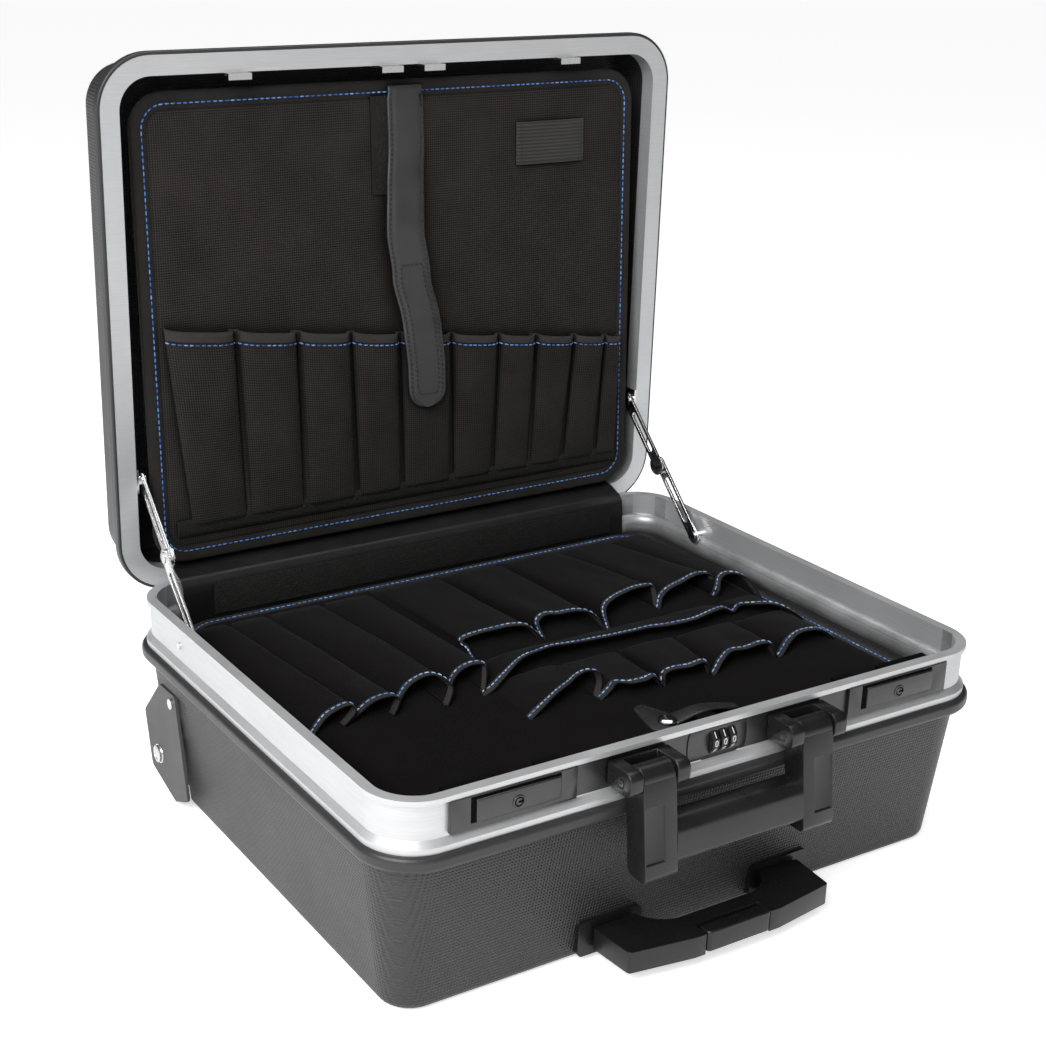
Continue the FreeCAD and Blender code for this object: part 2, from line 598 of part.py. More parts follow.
def combination():
    """Centre plate with a window, three dials on one axle and the case that holds them."""
    plate = plate_block("0 - plate_split + plate_joint / 2", "2 * plate_split - plate_joint")
    row = "2 * dial_pitch + dial_width + 2 * window_gap"
    window = block("dial_middle - (%s) / 2" % row, "0 - front_face - overrun",
                   "dial_z - window_height / 2", row, "plate_thickness + 2 * overrun",
                   "window_height")
    keep(cut(plate, window), "combination_plate")
    case = block("dial_middle - dial_case_width / 2", "0 - wall_half_depth",
                 "dial_z - dial_case_height / 2", "dial_case_width",
                 "wall_half_depth - inner_half_depth + dial_case_depth", "dial_case_height")
    room = block("dial_middle - dial_case_width / 2 + dial_case_wall",
                 "0 - wall_half_depth - overrun", "dial_z - dial_case_height / 2 + dial_case_wall",
                 "dial_case_width - 2 * dial_case_wall",
                 "wall_half_depth - inner_half_depth + dial_case_depth - dial_case_wall + overrun",
                 "dial_case_height - 2 * dial_case_wall")
    slot = block("strike_inner - strike_room / 2", "strike_room_start - inner_half_depth",
                 "rim_height - strike_room_drop", "strike_room", "lock_case_depth",
                 "strike_room_drop")
    axle_start = "dial_middle - dial_case_width / 2"
    bore = rod("x", axle_start + " - overrun", "dial_y", "dial_z",
               "dial_axle_radius + running_gap", "dial_case_width + 2 * overrun")
    keep(cut(case, room, both(slot), bore), "dial_case")
    keep(rod("x", axle_start, "dial_y", "dial_z", "dial_axle_radius", "dial_case_width"),
         "dial_axle")
    for index in range(3):
        left = "dial_middle + dial_pitch * %d - dial_width / 2" % (index - 1)
        dial = rod("x", left, "dial_y", "dial_z", "dial_radius", "dial_width")
        hole = rod("x", left + " - overrun", "dial_y", "dial_z",
                   "dial_axle_radius + running_gap", "dial_width + 2 * overrun")
        keep(cut(dial, hole), "dial_%d" % (index + 1))


def handle_brackets():
    """Bracket of a web and two ears for one end of the carry handle."""
    low = "rim_height - bracket_top - bracket_height"
    web = block("bracket_inner", "0 - front_face - bracket_web", low,
                "bracket_outer - bracket_inner", "bracket_web", "bracket_height")
    ears = []
    for left in ("bracket_inner", "bracket_outer - ear_width"):
        ear = pad("YZ_Plane", left, "ear_width", draw_outline,
                  [("0 - front_face", low), ("0 - front_face", low + " + bracket_height"),
                   ("0 - front_face - ear_reach", low + " + bracket_height"),
                   ("0 - front_face - ear_reach", low)])
        ears.append(round_edges(ear, "ear_round", lambda edge: runs_along(edge, "x")
                                and edge.BoundBox.YMin < number("pivot_y")))
    bore = rod("x", "bracket_inner - overrun", "pivot_y", "pivot_z",
               "handle_pin_radius + running_gap", "bracket_outer")
    pair(cut(fuse(web, *ears), bore), "handle_bracket")
    pin = rod("x", "bracket_inner", "pivot_y", "pivot_z", "handle_pin_radius",
              "bracket_outer - bracket_inner")
    keep(both(pin), "handle_pins")


def carry_handle():
    """Swinging handle: two leaning arms with barrels and a rounded grip between them."""
    width = "arm_outer - arm_inner"
    barrel = rod("x", "arm_inner", "pivot_y", "pivot_z", "handle_barrel", width)
    arm = pad("YZ_Plane", "arm_inner", width, draw_outline,
              [("pivot_y - handle_barrel", "pivot_z"), ("arm_front", "pivot_z - arm_length"),
               ("arm_front + arm_depth", "pivot_z - arm_length"),
               ("pivot_y + handle_barrel", "pivot_z")])
    arm = round_edges(arm, "arm_round", lambda edge: runs_along(edge, "x")
                      and edge.BoundBox.ZMax < number("pivot_z - arm_length / 2"))
    bore = rod("x", "arm_inner - overrun", "pivot_y", "pivot_z",
               "handle_pin_radius + running_gap", width + " + 2 * overrun")
    side = cut(fuse(barrel, arm), bore)
    grip_low = "pivot_z - arm_length + grip_rise"
    grip = slab_x("0 - arm_inner", "2 * arm_inner", "arm_front - grip_stand",
                  "arm_front - grip_stand + grip_depth", grip_low, grip_low + " + grip_height",
                  "grip_round")
    keep(fuse(side, mirror(side), grip), "carry_handle")


def tube_section(back, length, width, depth, corner):
    """A rounded bar along the case at the height of the right trolley tube."""
    return slab_y(back, length, "tube_middle - (%s) / 2" % width, "tube_middle + (%s) / 2" % width,
                  "tube_height - (%s) / 2" % depth, "tube_height + (%s) / 2" % depth, corner)


def trolley_frame():
    """Bezels, outer tubes and rear clamps that stay with the tray."""
    plate = tube_section("trolley_wall + overrun", "bezel_stand + overrun", "bezel_width",
                         "bezel_height", "bezel_round")
    collar = tube_section("trolley_wall + bezel_collar", "bezel_collar + bezel_stand / 2",
                          "tube_width + 2 * collar_wall", "tube_depth + 2 * collar_wall",
                          "bezel_round")
    bore = tube_section("trolley_wall + bezel_collar + overrun",
                        "bezel_collar + bezel_stand + 2 * overrun",
                        "middle_width + 2 * tube_play", "middle_depth + 2 * tube_play",
                        "tube_round - tube_wall")
    keep(both(cut(fuse(cut(plate, shell_outside()), collar), bore)), "trolley_bezels")
    back = "trolley_wall + bezel_collar + tube_length"
    outer = tube_section(back, "tube_length", "tube_width", "tube_depth", "tube_round")
    hollow = tube_section(back + " + overrun", "tube_length + 2 * overrun",
                          "tube_width - 2 * tube_wall", "tube_depth - 2 * tube_wall",
                          "tube_round - tube_wall")
    keep(both(cut(outer, hollow)), "trolley_tubes")
    clamp = block("tube_middle - tube_width / 2 - clamp_wall", back + " - clamp_length",
                  "shell_wall", "tube_width + 2 * clamp_wall", "clamp_length",
                  "tube_height + tube_depth / 2 + clamp_wall - shell_wall")
    keep(both(cut(clamp, outer)), "tube_clamps")


def trolley_slides():
    """Middle tubes and rods that pull out of the outer tubes."""
    back = "bezel_face + trolley_gap + middle_length"
    middle = tube_section(back, "middle_length", "middle_width", "middle_depth",
                          "tube_round - tube_wall")
    hollow = tube_section(back + " + overrun", "middle_length + 2 * overrun",
                          "rod_width + 2 * tube_play", "rod_depth + 2 * tube_play",
                          "tube_wall")
    keep(both(cut(middle, hollow)), "trolley_middle_tubes")
    keep(both(tube_section("trolley_back - socket_depth + rod_length", "rod_length",
                           "rod_width", "rod_depth", "tube_wall")), "trolley_rods")


def trolley_grip():
    """Bow-fronted grip with two arms socketed on the rods, and its push button."""
    low = "tube_height - trolley_thickness / 2"
    front = "trolley_front - trolley_bow"
    half = [("trolley_half_opening - trolley_slant", "trolley_front + trolley_bar"),
            ("trolley_half_opening", "trolley_back"), ("trolley_half_width", "trolley_back"),
            ("trolley_half_width - trolley_taper", "trolley_front"),
            ("button_width / 2 + trolley_slant", front)]
    outline = half + [(minus(x), y) for x, y in reversed(half)]
    grip = pad("XY_Plane", low, "trolley_thickness", draw_outline, outline)
    grip = round_edges(grip, "trolley_round", lambda edge: runs_along(edge, "z"))
    sockets = both(tube_section("trolley_back + overrun", "socket_depth + overrun",
                                "rod_width", "rod_depth", "tube_wall"))
    top = "tube_height + trolley_thickness / 2"
    pocket = block("0 - button_width / 2 - button_gap", front + " - overrun",
                   top + " - button_height - button_gap", "button_width + 2 * button_gap",
                   "button_depth + button_travel + button_gap - button_rise + overrun",
                   "button_height + button_gap + overrun")
    keep(cut(grip, sockets, pocket), "trolley_grip")
    button = slab_x("0 - button_width / 2", "button_width", front + " - button_rise",
                    front + " - button_rise + button_depth", top + " - button_height",
                    top + " + button_rise / 2", "button_rise")
    keep(button, "trolley_button")


def wheel_brackets():
    """Bracket of an outer cheek plate, a roof and an inner cheek in the corner recess."""
    outline = [("cheek_front", "cheek_front_height"),
               ("axle_y - cheek_toe_reach", "cheek_toe_height"),
               ("axle_y + cheek_tail_reach", "cheek_tail_height"),
               ("axle_y + cheek_back_reach", "cheek_back_height"),
               ("axle_y - cheek_peak_reach", "cheek_peak_height"),
               ("axle_y - cheek_brow_reach", "cheek_brow_height")]
    outer = pad("YZ_Plane", "cheek_inner", "cheek_thickness", draw_outline, outline)
    outer = round_edges(outer, "cheek_round", lambda edge: runs_along(edge, "x"))
    inner_left = "recess_inner + bracket_gap"
    roof_low = "recess_top - bracket_gap - bracket_roof"
    roof = block(inner_left, "recess_front + bracket_gap", roof_low,
                 "cheek_inner - recess_inner - bracket_gap",
                 "cheek_tail_reach + recess_reach - bracket_gap", "bracket_roof")
    inner = block(inner_left, "axle_y - inner_cheek_reach", "axle_height - inner_cheek_reach",
                  "inner_cheek_thickness", "2 * inner_cheek_reach",
                  "recess_top - bracket_gap - axle_height + inner_cheek_reach")
    axle_bore = rod("x", inner_left + " - overrun", "axle_y", "axle_height",
                    "axle_radius + running_gap", "cheek_face - recess_inner + 2 * overrun")
    rivet_bore = rod("x", "cheek_inner - overrun", "bracket_rivet_y", "bracket_rivet_height",
                     "bracket_rivet_radius / 2 + fit_gap", "cheek_thickness + 2 * overrun")
    pair(cut(fuse(outer, roof, inner), axle_bore, rivet_bore), "wheel_bracket")


def wheels():
    """Wheels with tyres on axles headed outside the cheeks."""
    left = "wheel_middle - wheel_width / 2"
    disc = rod("x", left, "axle_y", "axle_height", "wheel_radius", "wheel_width")
    bore = rod("x", left + " - overrun", "axle_y", "axle_height",
               "axle_radius + running_gap", "wheel_width + 2 * overrun")
    pair(cut(disc, bore), "wheel")
    tread = rod("x", left, "axle_y", "axle_height", "tyre_radius", "wheel_width")
    hole = rod("x", left + " - overrun", "axle_y", "axle_height", "wheel_radius",
               "wheel_width + 2 * overrun")
    pair(cut(tread, hole), "tyre")
    shank = rod("x", "recess_inner + bracket_gap", "axle_y", "axle_height", "axle_radius",
                "cheek_face - recess_inner - bracket_gap")
    head = rod("x", "cheek_face", "axle_y", "axle_height", "axle_head", "axle_head_height")
    keep(both(fuse(shank, head)), "axles")


def rivets():
    """Bracket rivets through the tray's wall, and stay rivet heads on the frame."""
    shank = rod("x", "cheek_inner - shell_wall", "bracket_rivet_y", "bracket_rivet_height",
                "bracket_rivet_radius / 2", "cheek_thickness + shell_wall")
    head = rod("x", "cheek_face", "bracket_rivet_y", "bracket_rivet_height",
               "bracket_rivet_radius", "bracket_rivet_stand")
    stay_head = rod("x", "wall_half_width", "stay_base_y", "stay_base_z", "stay_rivet",
                    "stay_head_height")
    keep(both(group(fuse(shank, head), stay_head)), "rivets")


def hinges():
    """Two hinges: leaves on the tray's frame and on the lid's, with a pin through both."""
    left = "hinge_middle - hinge_width / 2"
    clear = "knuckle_radius + turn_gap"
    quarter = "hinge_width / 4 - turn_gap / 2"
    third_left = "hinge_middle + hinge_width / 4 + turn_gap / 2"
    base_low = "hinge_z - base_leaf_height"
    base = [block(left, "wall_half_depth", base_low, "hinge_width", "leaf_thickness",
                  "base_leaf_height - (%s)" % clear)]
    for start in (left, third_left):
        base.append(block(start, "wall_half_depth", base_low, quarter, "leaf_thickness",
                          "base_leaf_height"))
        base.append(rod("x", start, "hinge_y", "hinge_z", "knuckle_radius", quarter))
    bore = rod("x", left + " - overrun", "hinge_y", "hinge_z", "hinge_pin_radius + running_gap",
               "hinge_width + 2 * overrun")
    keep(both(cut(fuse(*base), bore)), "hinge_base_leaves")
    middle_left = "hinge_middle - hinge_width / 4 + turn_gap / 2"
    middle = "hinge_width / 2 - turn_gap"
    leaf_end = "lid_face + lid_leaf_height"
    lid = [block(left, "hinge_y + " + clear, "lid_low - leaf_thickness", "hinge_width",
                 "%s - hinge_y - (%s)" % (leaf_end, clear), "leaf_thickness"),
           block(middle_left, "hinge_y", "lid_low - leaf_thickness", middle,
                 leaf_end + " - hinge_y", "leaf_thickness"),
           rod("x", middle_left, "hinge_y", "hinge_z", "knuckle_radius", middle)]
    keep(both(cut(fuse(*lid), bore)), "hinge_lid_leaves")
    keep(both(rod("x", left, "hinge_y", "hinge_z", "hinge_pin_radius", "hinge_width")),
         "hinge_pins")


def lid_frame():
    """Aluminium frame round the lid: a flat face with a short edge and a deep inner return."""
    face_back = "lid_face + lid_face_thickness"
    opening = lid_slab("lid_face + lid_return_depth + overrun", "lid_return_depth + 2 * overrun",
                       "lid_opening", "lid_opening_end", "lid_corner - lid_face_width")
    face = lid_slab(face_back, "lid_face_thickness", "lid_half_width", "lid_half_depth",
                    "lid_corner")
    edge = cut(lid_slab("lid_face + lid_edge_depth", "lid_edge_depth", "lid_half_width",
                        "lid_half_depth", "lid_corner"),
               lid_slab("lid_face + lid_edge_depth + overrun", "lid_edge_depth + 2 * overrun",
                        "lid_half_width - lid_return_wall", "lid_half_depth - lid_return_wall",
                        "lid_corner - lid_return_wall"))
    inner = lid_slab("lid_face + lid_return_depth", "lid_return_depth",
                     "lid_opening + lid_return_wall", "lid_opening_end + lid_return_wall",
                     "lid_corner - lid_face_width + lid_return_wall")
    keep(cut(fuse(face, edge, inner), opening), "lid_frame")


def lid_shell():
    """Plastic lid: a lip hugging the frame, drafted walls and a rounded back."""
    lip = lid_slab("lid_face + lid_lip_height", "lid_lip_height - plate_joint",
                   "lid_half_width + lid_lip_reach", "lid_half_depth + lid_lip_reach",
                   "lid_corner + lid_lip_reach")
    lip = round_edges(lip, "lid_lip_reach / 2", lambda edge: not runs_along(edge, "y"))
    start = "lid_face + lid_edge_depth + fit_gap"
    depth = "lid_back - (%s)" % start
    corner = "lid_corner + lid_lip_reach - lid_wall_inset - lid_draft"
    wall = drafted(lid_slab("lid_back", depth, "lid_wall_half_width - lid_draft",
                            "lid_wall_half_depth - lid_draft", corner),
                   "lid_draft / (%s)" % depth)
    wall = round_edges(wall, "lid_edge", lambda edge: flat_at(edge, "y", "lid_back"))
    room = lid_slab(start, "lid_edge_depth + overrun", "lid_half_width + fit_gap",
                    "lid_half_depth + fit_gap", "lid_corner + fit_gap")
    inside = drafted(lid_slab("lid_back - shell_wall", "lid_height - shell_wall",
                              "lid_wall_half_width - lid_draft - shell_wall",
                              "lid_wall_half_depth - lid_draft - shell_wall",
                              corner + " - shell_wall"),
                     "lid_draft / (%s)" % depth)
    inside = round_edges(inside, "lid_edge - shell_wall",
                         lambda edge: flat_at(edge, "y", "lid_back - shell_wall"))
    notch = block("hinge_middle - hinge_width / 2 - turn_gap", "lid_face - overrun",
                  "lid_low - overrun", "hinge_width + 2 * turn_gap",
                  "lid_leaf_height + overrun + turn_gap", "overrun")
    keep(cut(fuse(lip, wall), room, inside, both(notch)), "lid_shell")


def lid_strikes():
    """Four bent strikes under the top edge of the lid's opening."""
    top = "lid_middle + lid_opening_end"
    pieces = []
    for middle in ("strike_outer", "strike_inner"):
        leaf = block(middle + " - strike_width / 2", "lid_face - strike_reach",
                     top + " - strike_thickness", "strike_width", "strike_reach + strike_foot",
                     "strike_thickness")
        hook = block(middle + " - strike_width / 2", "lid_face - strike_reach",
                     top + " - strike_hook", "strike_width", "strike_thickness", "strike_hook")
        pieces.append(both(fuse(leaf, hook)))
    keep(group(*pieces), "lid_strikes")


def stay_arm(left, start, length, *tools):
    """A flat slotted arm along the open stay, bored at both ends."""
    bar = slab_x(left, "stay_thickness", start + " - stay_end", start + " + %s + stay_end" % length,
                 "0 - stay_half_width", "stay_half_width", "stay_half_width - fit_gap")
    slot = slab_x(left + " - overrun", "stay_thickness + 2 * overrun",
                  start + " + stay_slot_end", start + " + %s - stay_slot_end" % length,
                  "0 - stay_slot", "stay_slot", "stay_slot - fit_gap")
    return cut(bar, slot, *tools)


def lay_stay(item, label):
    """Turn a piece drawn along the stay onto the line between its two pivots."""
    item.Placement = FreeCAD.Placement(Vector(), FreeCAD.Rotation(Vector(1, 0, 0), 1))
    bind(item, Placement__Rotation__Angle="stay_angle", Placement__Base__y="stay_base_y",
         Placement__Base__z="stay_base_z")
    pair(item, label)


def stays():
    """Folding stays: lower arms on the tray, upper arms on the lid, discs at the knees."""
    lower_left = "stay_outer - stay_thickness"
    upper_left = "stay_outer - stay_step - stay_thickness"
    base_bore = rod("x", lower_left + " - overrun", "0", "0", "stay_rivet + running_gap",
                    "stay_thickness + 2 * overrun")
    lower = stay_arm(lower_left, "0", "stay_lower_length", base_bore)
    outer_head = rod("x", "stay_outer", "stay_lower_length", "0", "stay_rivet_head",
                     "stay_head_height")
    lay_stay(fuse(lower, outer_head), "stay_lower")
    lid_bore = rod("x", upper_left + " - overrun", "stay_run", "0", "stay_rivet + running_gap",
                   "stay_thickness + 2 * overrun")
    upper = stay_arm(upper_left, "stay_lower_length", "stay_upper_length", lid_bore)
    disc = rod("x", upper_left + " - knee_disc_thickness", "stay_lower_length", "0",
               "knee_disc", "knee_disc_thickness")
    lay_stay(fuse(upper, disc), "stay_upper")
    keep(both(stay_stud("inner_half_width", "stay_outer", "stay_base_y", "stay_base_z")),
         "stay_pivots")
    plate = block("lid_opening - stay_plate_thickness", "lid_face",
                  "stay_lid_z - stay_plate_width / 2", "stay_plate_thickness",
                  "lid_return_depth", "stay_plate_width")
    stud = stay_stud("lid_opening - stay_plate_thickness", "stay_outer - stay_step",
                     "stay_lid_y", "stay_lid_z")
    keep(both(fuse(plate, stud)), "stay_brackets")


def stay_stud(wall, arm_face, y, z):
    """A stepped stud on a wall face, with a head that holds an arm."""
    boss = rod("x", arm_face + " + fit_gap", y, z, "stay_rivet_head",
               "%s - (%s) - fit_gap" % (wall, arm_face))
    pin = rod("x", arm_face + " - stay_thickness - fit_gap - stay_head_height", y, z,
              "stay_rivet", "stay_thickness + 2 * fit_gap + stay_head_height")
    head = rod("x", arm_face + " - stay_thickness - fit_gap - stay_head_height", y, z,
               "stay_rivet_head", "stay_head_height")
    return fuse(boss, pin, head)


def lean(item, label):
    """Lean a piece drawn against an upright board to the slope of the lid's board."""
    item.Placement = FreeCAD.Placement(Vector(), FreeCAD.Rotation(Vector(-1, 0, 0), 1))
    bind(item, Placement__Rotation__Angle="lid_board_lean", Placement__Base__y="lid_board_y",
         Placement__Base__z="lid_board_z")
    return keep(item, label)


def arched(across_left, across_right, flat, bulge, place):
    """A closed outline: a straight back, two short sides and an arc over the front."""
    corners = [place(across_left, 0), place(across_left, flat), place(across_right, flat),
               place(across_right, 0)]
    crown = place((across_left + across_right) / 2, flat + bulge)
    edges = [Part.makeLine(corners[0], corners[1]), Part.Arc(corners[1], crown, corners[2]).toShape(),
             Part.makeLine(corners[2], corners[3]), Part.makeLine(corners[3], corners[0])]
    return Part.Wire(edges)


def lid_board():
    """Padded board leaning in the lid, its posts, pockets, strap and tool loops."""
    board = slab_y("lid_board_thickness", "lid_board_thickness", "0 - lid_board_half_width",
                   "lid_board_half_width", "0", "lid_board_height", "lid_board_corner")
    lean(board, "lid_board")
    posts = []
    slope = "tan(lid_board_lean)"
    for height in ("post_low", "(lid_board_height - post_low)"):
        reach = "lid_board_y + lid_board_thickness + seat_gap + %s * %s" % (slope, height)
        start = "%s + post_radius * %s" % (reach, slope)
        posts.append(both(rod("y", "lid_board_half_width - post_margin", start, "lid_board_z + " + height, "post_radius",
                              "lid_back - shell_wall - (%s)" % start)))
    keep(group(*posts), "lid_board_posts")
    half = number("lid_pocket_half_width")
    gap = number("pocket_gap")
    low = number("lid_pocket_low")
    left_top = number("lid_pocket_left")
    drop = (left_top - number("lid_pocket_right")) / (2 * half)
    solids = []
    for start, end in zip(LID_SEAM_SHARES, LID_SEAM_SHARES[1:]):
        left = half * start + gap
        right = half * end - gap
        flat = number("lid_pocket_flat")
        bulge = min(number("lid_pocket_bulge"), (right - left) * number("pocket_bulge_share"))

        def at_seam(x, out):
            return Vector(x, -gap - out, low)

        def at_mouth(x, out):
            return Vector(x, -gap - out, left_top - drop * (x + half))

        wires = [arched(left, right, flat, flat, at_seam), arched(left, right, flat, bulge, at_mouth)]
        solids.append(Part.makeLoft(wires, True, True))
    pockets = doc.addObject("Part::Feature", fresh("pockets"))
    pockets.Shape = Part.makeCompound(solids)
    lean(pockets, "lid_pockets")
    loops = slab_y("0 - pocket_gap", "loop_thickness", "loop_left", "loop_left + loop_width",
                   "lid_board_height - loop_drop", "lid_board_height - loop_drop + loop_height",
                   "loop_thickness / 2")
    lean(loops, "tool_loops")
    hang = "0 - strap_length * %s"
    near = minus("pocket_gap")
    out = minus("strap_stand")
    outline = [(near, "0"), (near, hang % "strap_flat_share"), (out, hang % "strap_rest_share"),
               (out, hang % "1"), (out + " - strap_thickness", hang % "1"),
               (out + " - strap_thickness", hang % "strap_rest_share"),
               (near + " - strap_thickness", hang % "strap_flat_share"),
               (near + " - strap_thickness", "0")]
    strap = pad("YZ_Plane", "0 - strap_width / 2", "strap_width", draw_outline, outline)
    strap.Placement = FreeCAD.Placement(Vector(), FreeCAD.Rotation(Vector(0, 1, 0), 1))
    bind(strap, Placement__Rotation__Angle="0 - strap_swing", Placement__Base__x="strap_top_x",
         Placement__Base__z="lid_board_height - strap_top_margin")
    lean(group(strap), "lid_strap")


def base_board():
    """Padded board on the tray's seat, with rows of flat pockets and a press-stud tab."""
    board = pad("XY_Plane", "board_low", "board_thickness", draw_round_rect,
                "0 - board_half_width", "board_half_width", "0 - board_front", "board_back",
                "board_corner")
    keep(board, "base_board")
    half = number("board_half_width")
    reach = number("board_back")
    floor = number("rim_height - board_drop + seat_gap")
    gap = number("pocket_gap")
    thin = number("pocket_seam_height")
    rise = number("pocket_height")
    for label, (seam_share, mouths) in POCKET_ROW_SHARES.items():
        solids = []
        for (left_share, left_back), (right_share, right_back) in zip(mouths, mouths[1:]):
            left = half * left_share + gap
            right = half * right_share - gap
            lean_share = (right_back - left_back) / (right_share - left_share)

            def at_seam(x, up):
                return Vector(x, reach * seam_share, floor + up)

            def at_mouth(x, up):
                back_share = left_back + (x / half - left_share) * lean_share
                return Vector(x, reach * back_share, floor + up)

            wires = [arched(left, right, thin / 2, thin / 2, at_seam),
                     arched(left, right, thin, rise - thin, at_mouth)]
            solids.append(Part.makeLoft(wires, True, True))
        row = doc.addObject("Part::Feature", fresh("row"))
        row.Shape = Part.makeCompound(solids)
        keep(row, label)
    tab = slab_z("0", "snap_thickness", "snap_width / 2", "snap_length / 2", "snap_width / 4")
    stud = rod("z", "0", "0", "snap_thickness", "stud_radius", "stud_height")
    for item, label in ((tab, "snap_tab"), (stud, "snap_stud")):
        item.Placement = FreeCAD.Placement(Vector(), FreeCAD.Rotation(Vector(0, 0, 1), 1))
        keep(bind(item, Placement__Rotation__Angle="snap_turn", Placement__Base__x="snap_middle",
                  Placement__Base__y="snap_length / 2 + snap_margin - board_front"), label)
    bind(tab, Placement__Base__z="rim_height - board_drop + seat_gap")
    bind(stud, Placement__Base__z="rim_height - board_drop + seat_gap + snap_thickness")


def hinge_cover():
    """Padded flap that rises from the tray's seat, over the rim and under the lid's board."""
    outer = "upstand_half_depth - cover_stand"
    inner = outer + " - cover_thickness"
    bend = "rim_height + cover_bend_height"
    top = "rim_height + cover_top_height"
    edge = "inner_half_depth - cover_stand"
    outline = [(inner, "board_low"), (outer, "board_low"), (outer, "rim_height - cover_shoulder"),
               (edge, "rim_height + cover_stand"), ("rim_half_depth", bend),
               ("lid_face - cover_bend_height", top), ("lid_face + cover_reach", top),
               ("lid_face + cover_reach", top + " + cover_thickness"),
               ("lid_face - cover_bend_height", top + " + cover_thickness"),
               ("rim_half_depth - cover_stand", bend + " + cover_thickness"),
               (edge + " - cover_thickness", "rim_height + cover_stand + cover_thickness"),
               (inner, "rim_height - cover_shoulder")]
    keep(pad("YZ_Plane", "0 - cover_half_width", "2 * cover_half_width", draw_outline, outline),
         "hinge_cover")


base_shell()
base_frame()
lock_plates()
lock_tabs()
key_barrels()
lock_cases()
combination()
handle_brackets()
carry_handle()
trolley_frame()
trolley_slides()
trolley_grip()
wheel_brackets()
wheels()
rivets()
hinges()
lid_frame()
lid_shell()
lid_strikes()
stays()
lid_board()
base_board()
hinge_cover()

doc.recompute()
for item in doc.Objects:
    bad = [state for state in item.State if state in ("Invalid", "Error")]
    if bad:
        raise RuntimeError("%s (%s) did not recompute" % (item.Name, item.TypeId))
os.makedirs("parts", exist_ok=True)
print("%d sub-parts" % len(PARTS))
for item in PARTS:
    if item.Shape.isNull() or not item.Shape.isValid() or not item.Shape.Solids:
        raise RuntimeError("%s has no valid solid" % item.Label)
    item.Shape.exportStep("parts/%s.step" % item.Label)
    box = item.Shape.BoundBox
    print("%-22s %2d solids %9.0f mm3  x %7.1f %7.1f  y %7.1f %7.1f  z %6.1f %6.1f" % (
        item.Label, len(item.Shape.Solids), item.Shape.Volume, box.XMin, box.XMax,
        box.YMin, box.YMax, box.ZMin, box.ZMax))
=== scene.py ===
"""Hard tool case on wheels: cloth, fittings and finishes round its frame."""
import json
from math import copysign, cos, pi, radians, sin

import bmesh
import bpy
from bpy.props import FloatProperty, FloatVectorProperty, PointerProperty
from mathutils import Matrix, Quaternion, Vector, noise

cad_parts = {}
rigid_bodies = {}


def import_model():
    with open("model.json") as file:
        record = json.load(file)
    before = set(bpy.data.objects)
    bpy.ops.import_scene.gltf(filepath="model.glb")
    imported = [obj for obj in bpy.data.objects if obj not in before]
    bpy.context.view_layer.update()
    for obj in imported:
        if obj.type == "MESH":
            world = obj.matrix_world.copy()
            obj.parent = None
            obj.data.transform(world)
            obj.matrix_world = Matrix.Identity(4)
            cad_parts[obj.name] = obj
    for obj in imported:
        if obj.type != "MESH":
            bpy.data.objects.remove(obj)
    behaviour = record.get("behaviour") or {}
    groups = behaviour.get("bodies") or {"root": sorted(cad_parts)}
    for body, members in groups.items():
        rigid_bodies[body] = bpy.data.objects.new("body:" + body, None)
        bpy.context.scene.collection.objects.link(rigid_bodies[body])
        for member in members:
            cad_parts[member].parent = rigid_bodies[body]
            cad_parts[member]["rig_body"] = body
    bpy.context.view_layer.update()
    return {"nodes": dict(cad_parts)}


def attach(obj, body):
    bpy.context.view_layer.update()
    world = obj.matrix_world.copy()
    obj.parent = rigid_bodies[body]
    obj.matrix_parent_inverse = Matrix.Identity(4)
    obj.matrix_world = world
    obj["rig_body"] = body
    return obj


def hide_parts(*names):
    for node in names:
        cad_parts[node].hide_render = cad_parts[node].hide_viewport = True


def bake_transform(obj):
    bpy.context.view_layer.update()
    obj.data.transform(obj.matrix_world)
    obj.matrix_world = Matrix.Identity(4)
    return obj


bl_info = {
    "name": "Hard tool case",
    "version": (1, 0, 0),
    "blender": (4, 5, 0),
    "location": "3D View > Sidebar > Tool case",
    "description": "Dresses the frame of a wheeled hard tool case with its cloth, fittings and finishes",
    "category": "Object",
}

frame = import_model()
NODES = frame["nodes"]

# Lengths in the shapes below are in millimetres and become metres when a piece is finished.
MILLIMETRE = 0.001
UP = Vector((0, 0, 1))
ACROSS = Vector((1, 0, 0))
BACK = Vector((0, 1, 0))
SIDES = (("left", -1), ("right", 1))

# Flat frames of the two padded boards: X across, Y along the board, Z out of its face. The lid's leans back.
UPRIGHT = Matrix.Rotation(radians(90), 4, "X")
LID_BOARD_PLACE = Matrix.Translation((0, 199, 164)) @ Matrix.Rotation(-radians(2.8), 4, "X") @ UPRIGHT
BASE_BOARD_PLACE = Matrix.Translation((0, 0, 124))

# The boards' outlines in their flat frames: left, right, low, high.
LID_BOARD = (-217.5, 217.5, 0, 346)
BASE_BOARD = (-216, 216, -170, 177)

# The fittings at the front and the wheels, as they stand in the frame.
LOCK_FACE = -194.9
PLATE_HEIGHTS = (128.5, 150.5)
DIAL_MIDDLES = (-4.2, 3.0, 10.2)
DIAL_CENTRE = Vector((0, -188.3, 139.5))
HANDLE_PIVOT = (51.3, -207.5, 138.5)
AXLE = Vector((0, 162, 30))

# Seams between the pockets on the lid's board, at their mouths and at their foot, and the foot's height.
LID_MOUTH_SEAMS = [-205, -147, -96, -51, -8, 39, 84, 120, 158, 190, 207]
LID_FOOT_SEAMS = [-190, -141, -92, -47, -6, 40, 79, 115, 148, 182, 205]
LID_POCKET_FOOT = 28

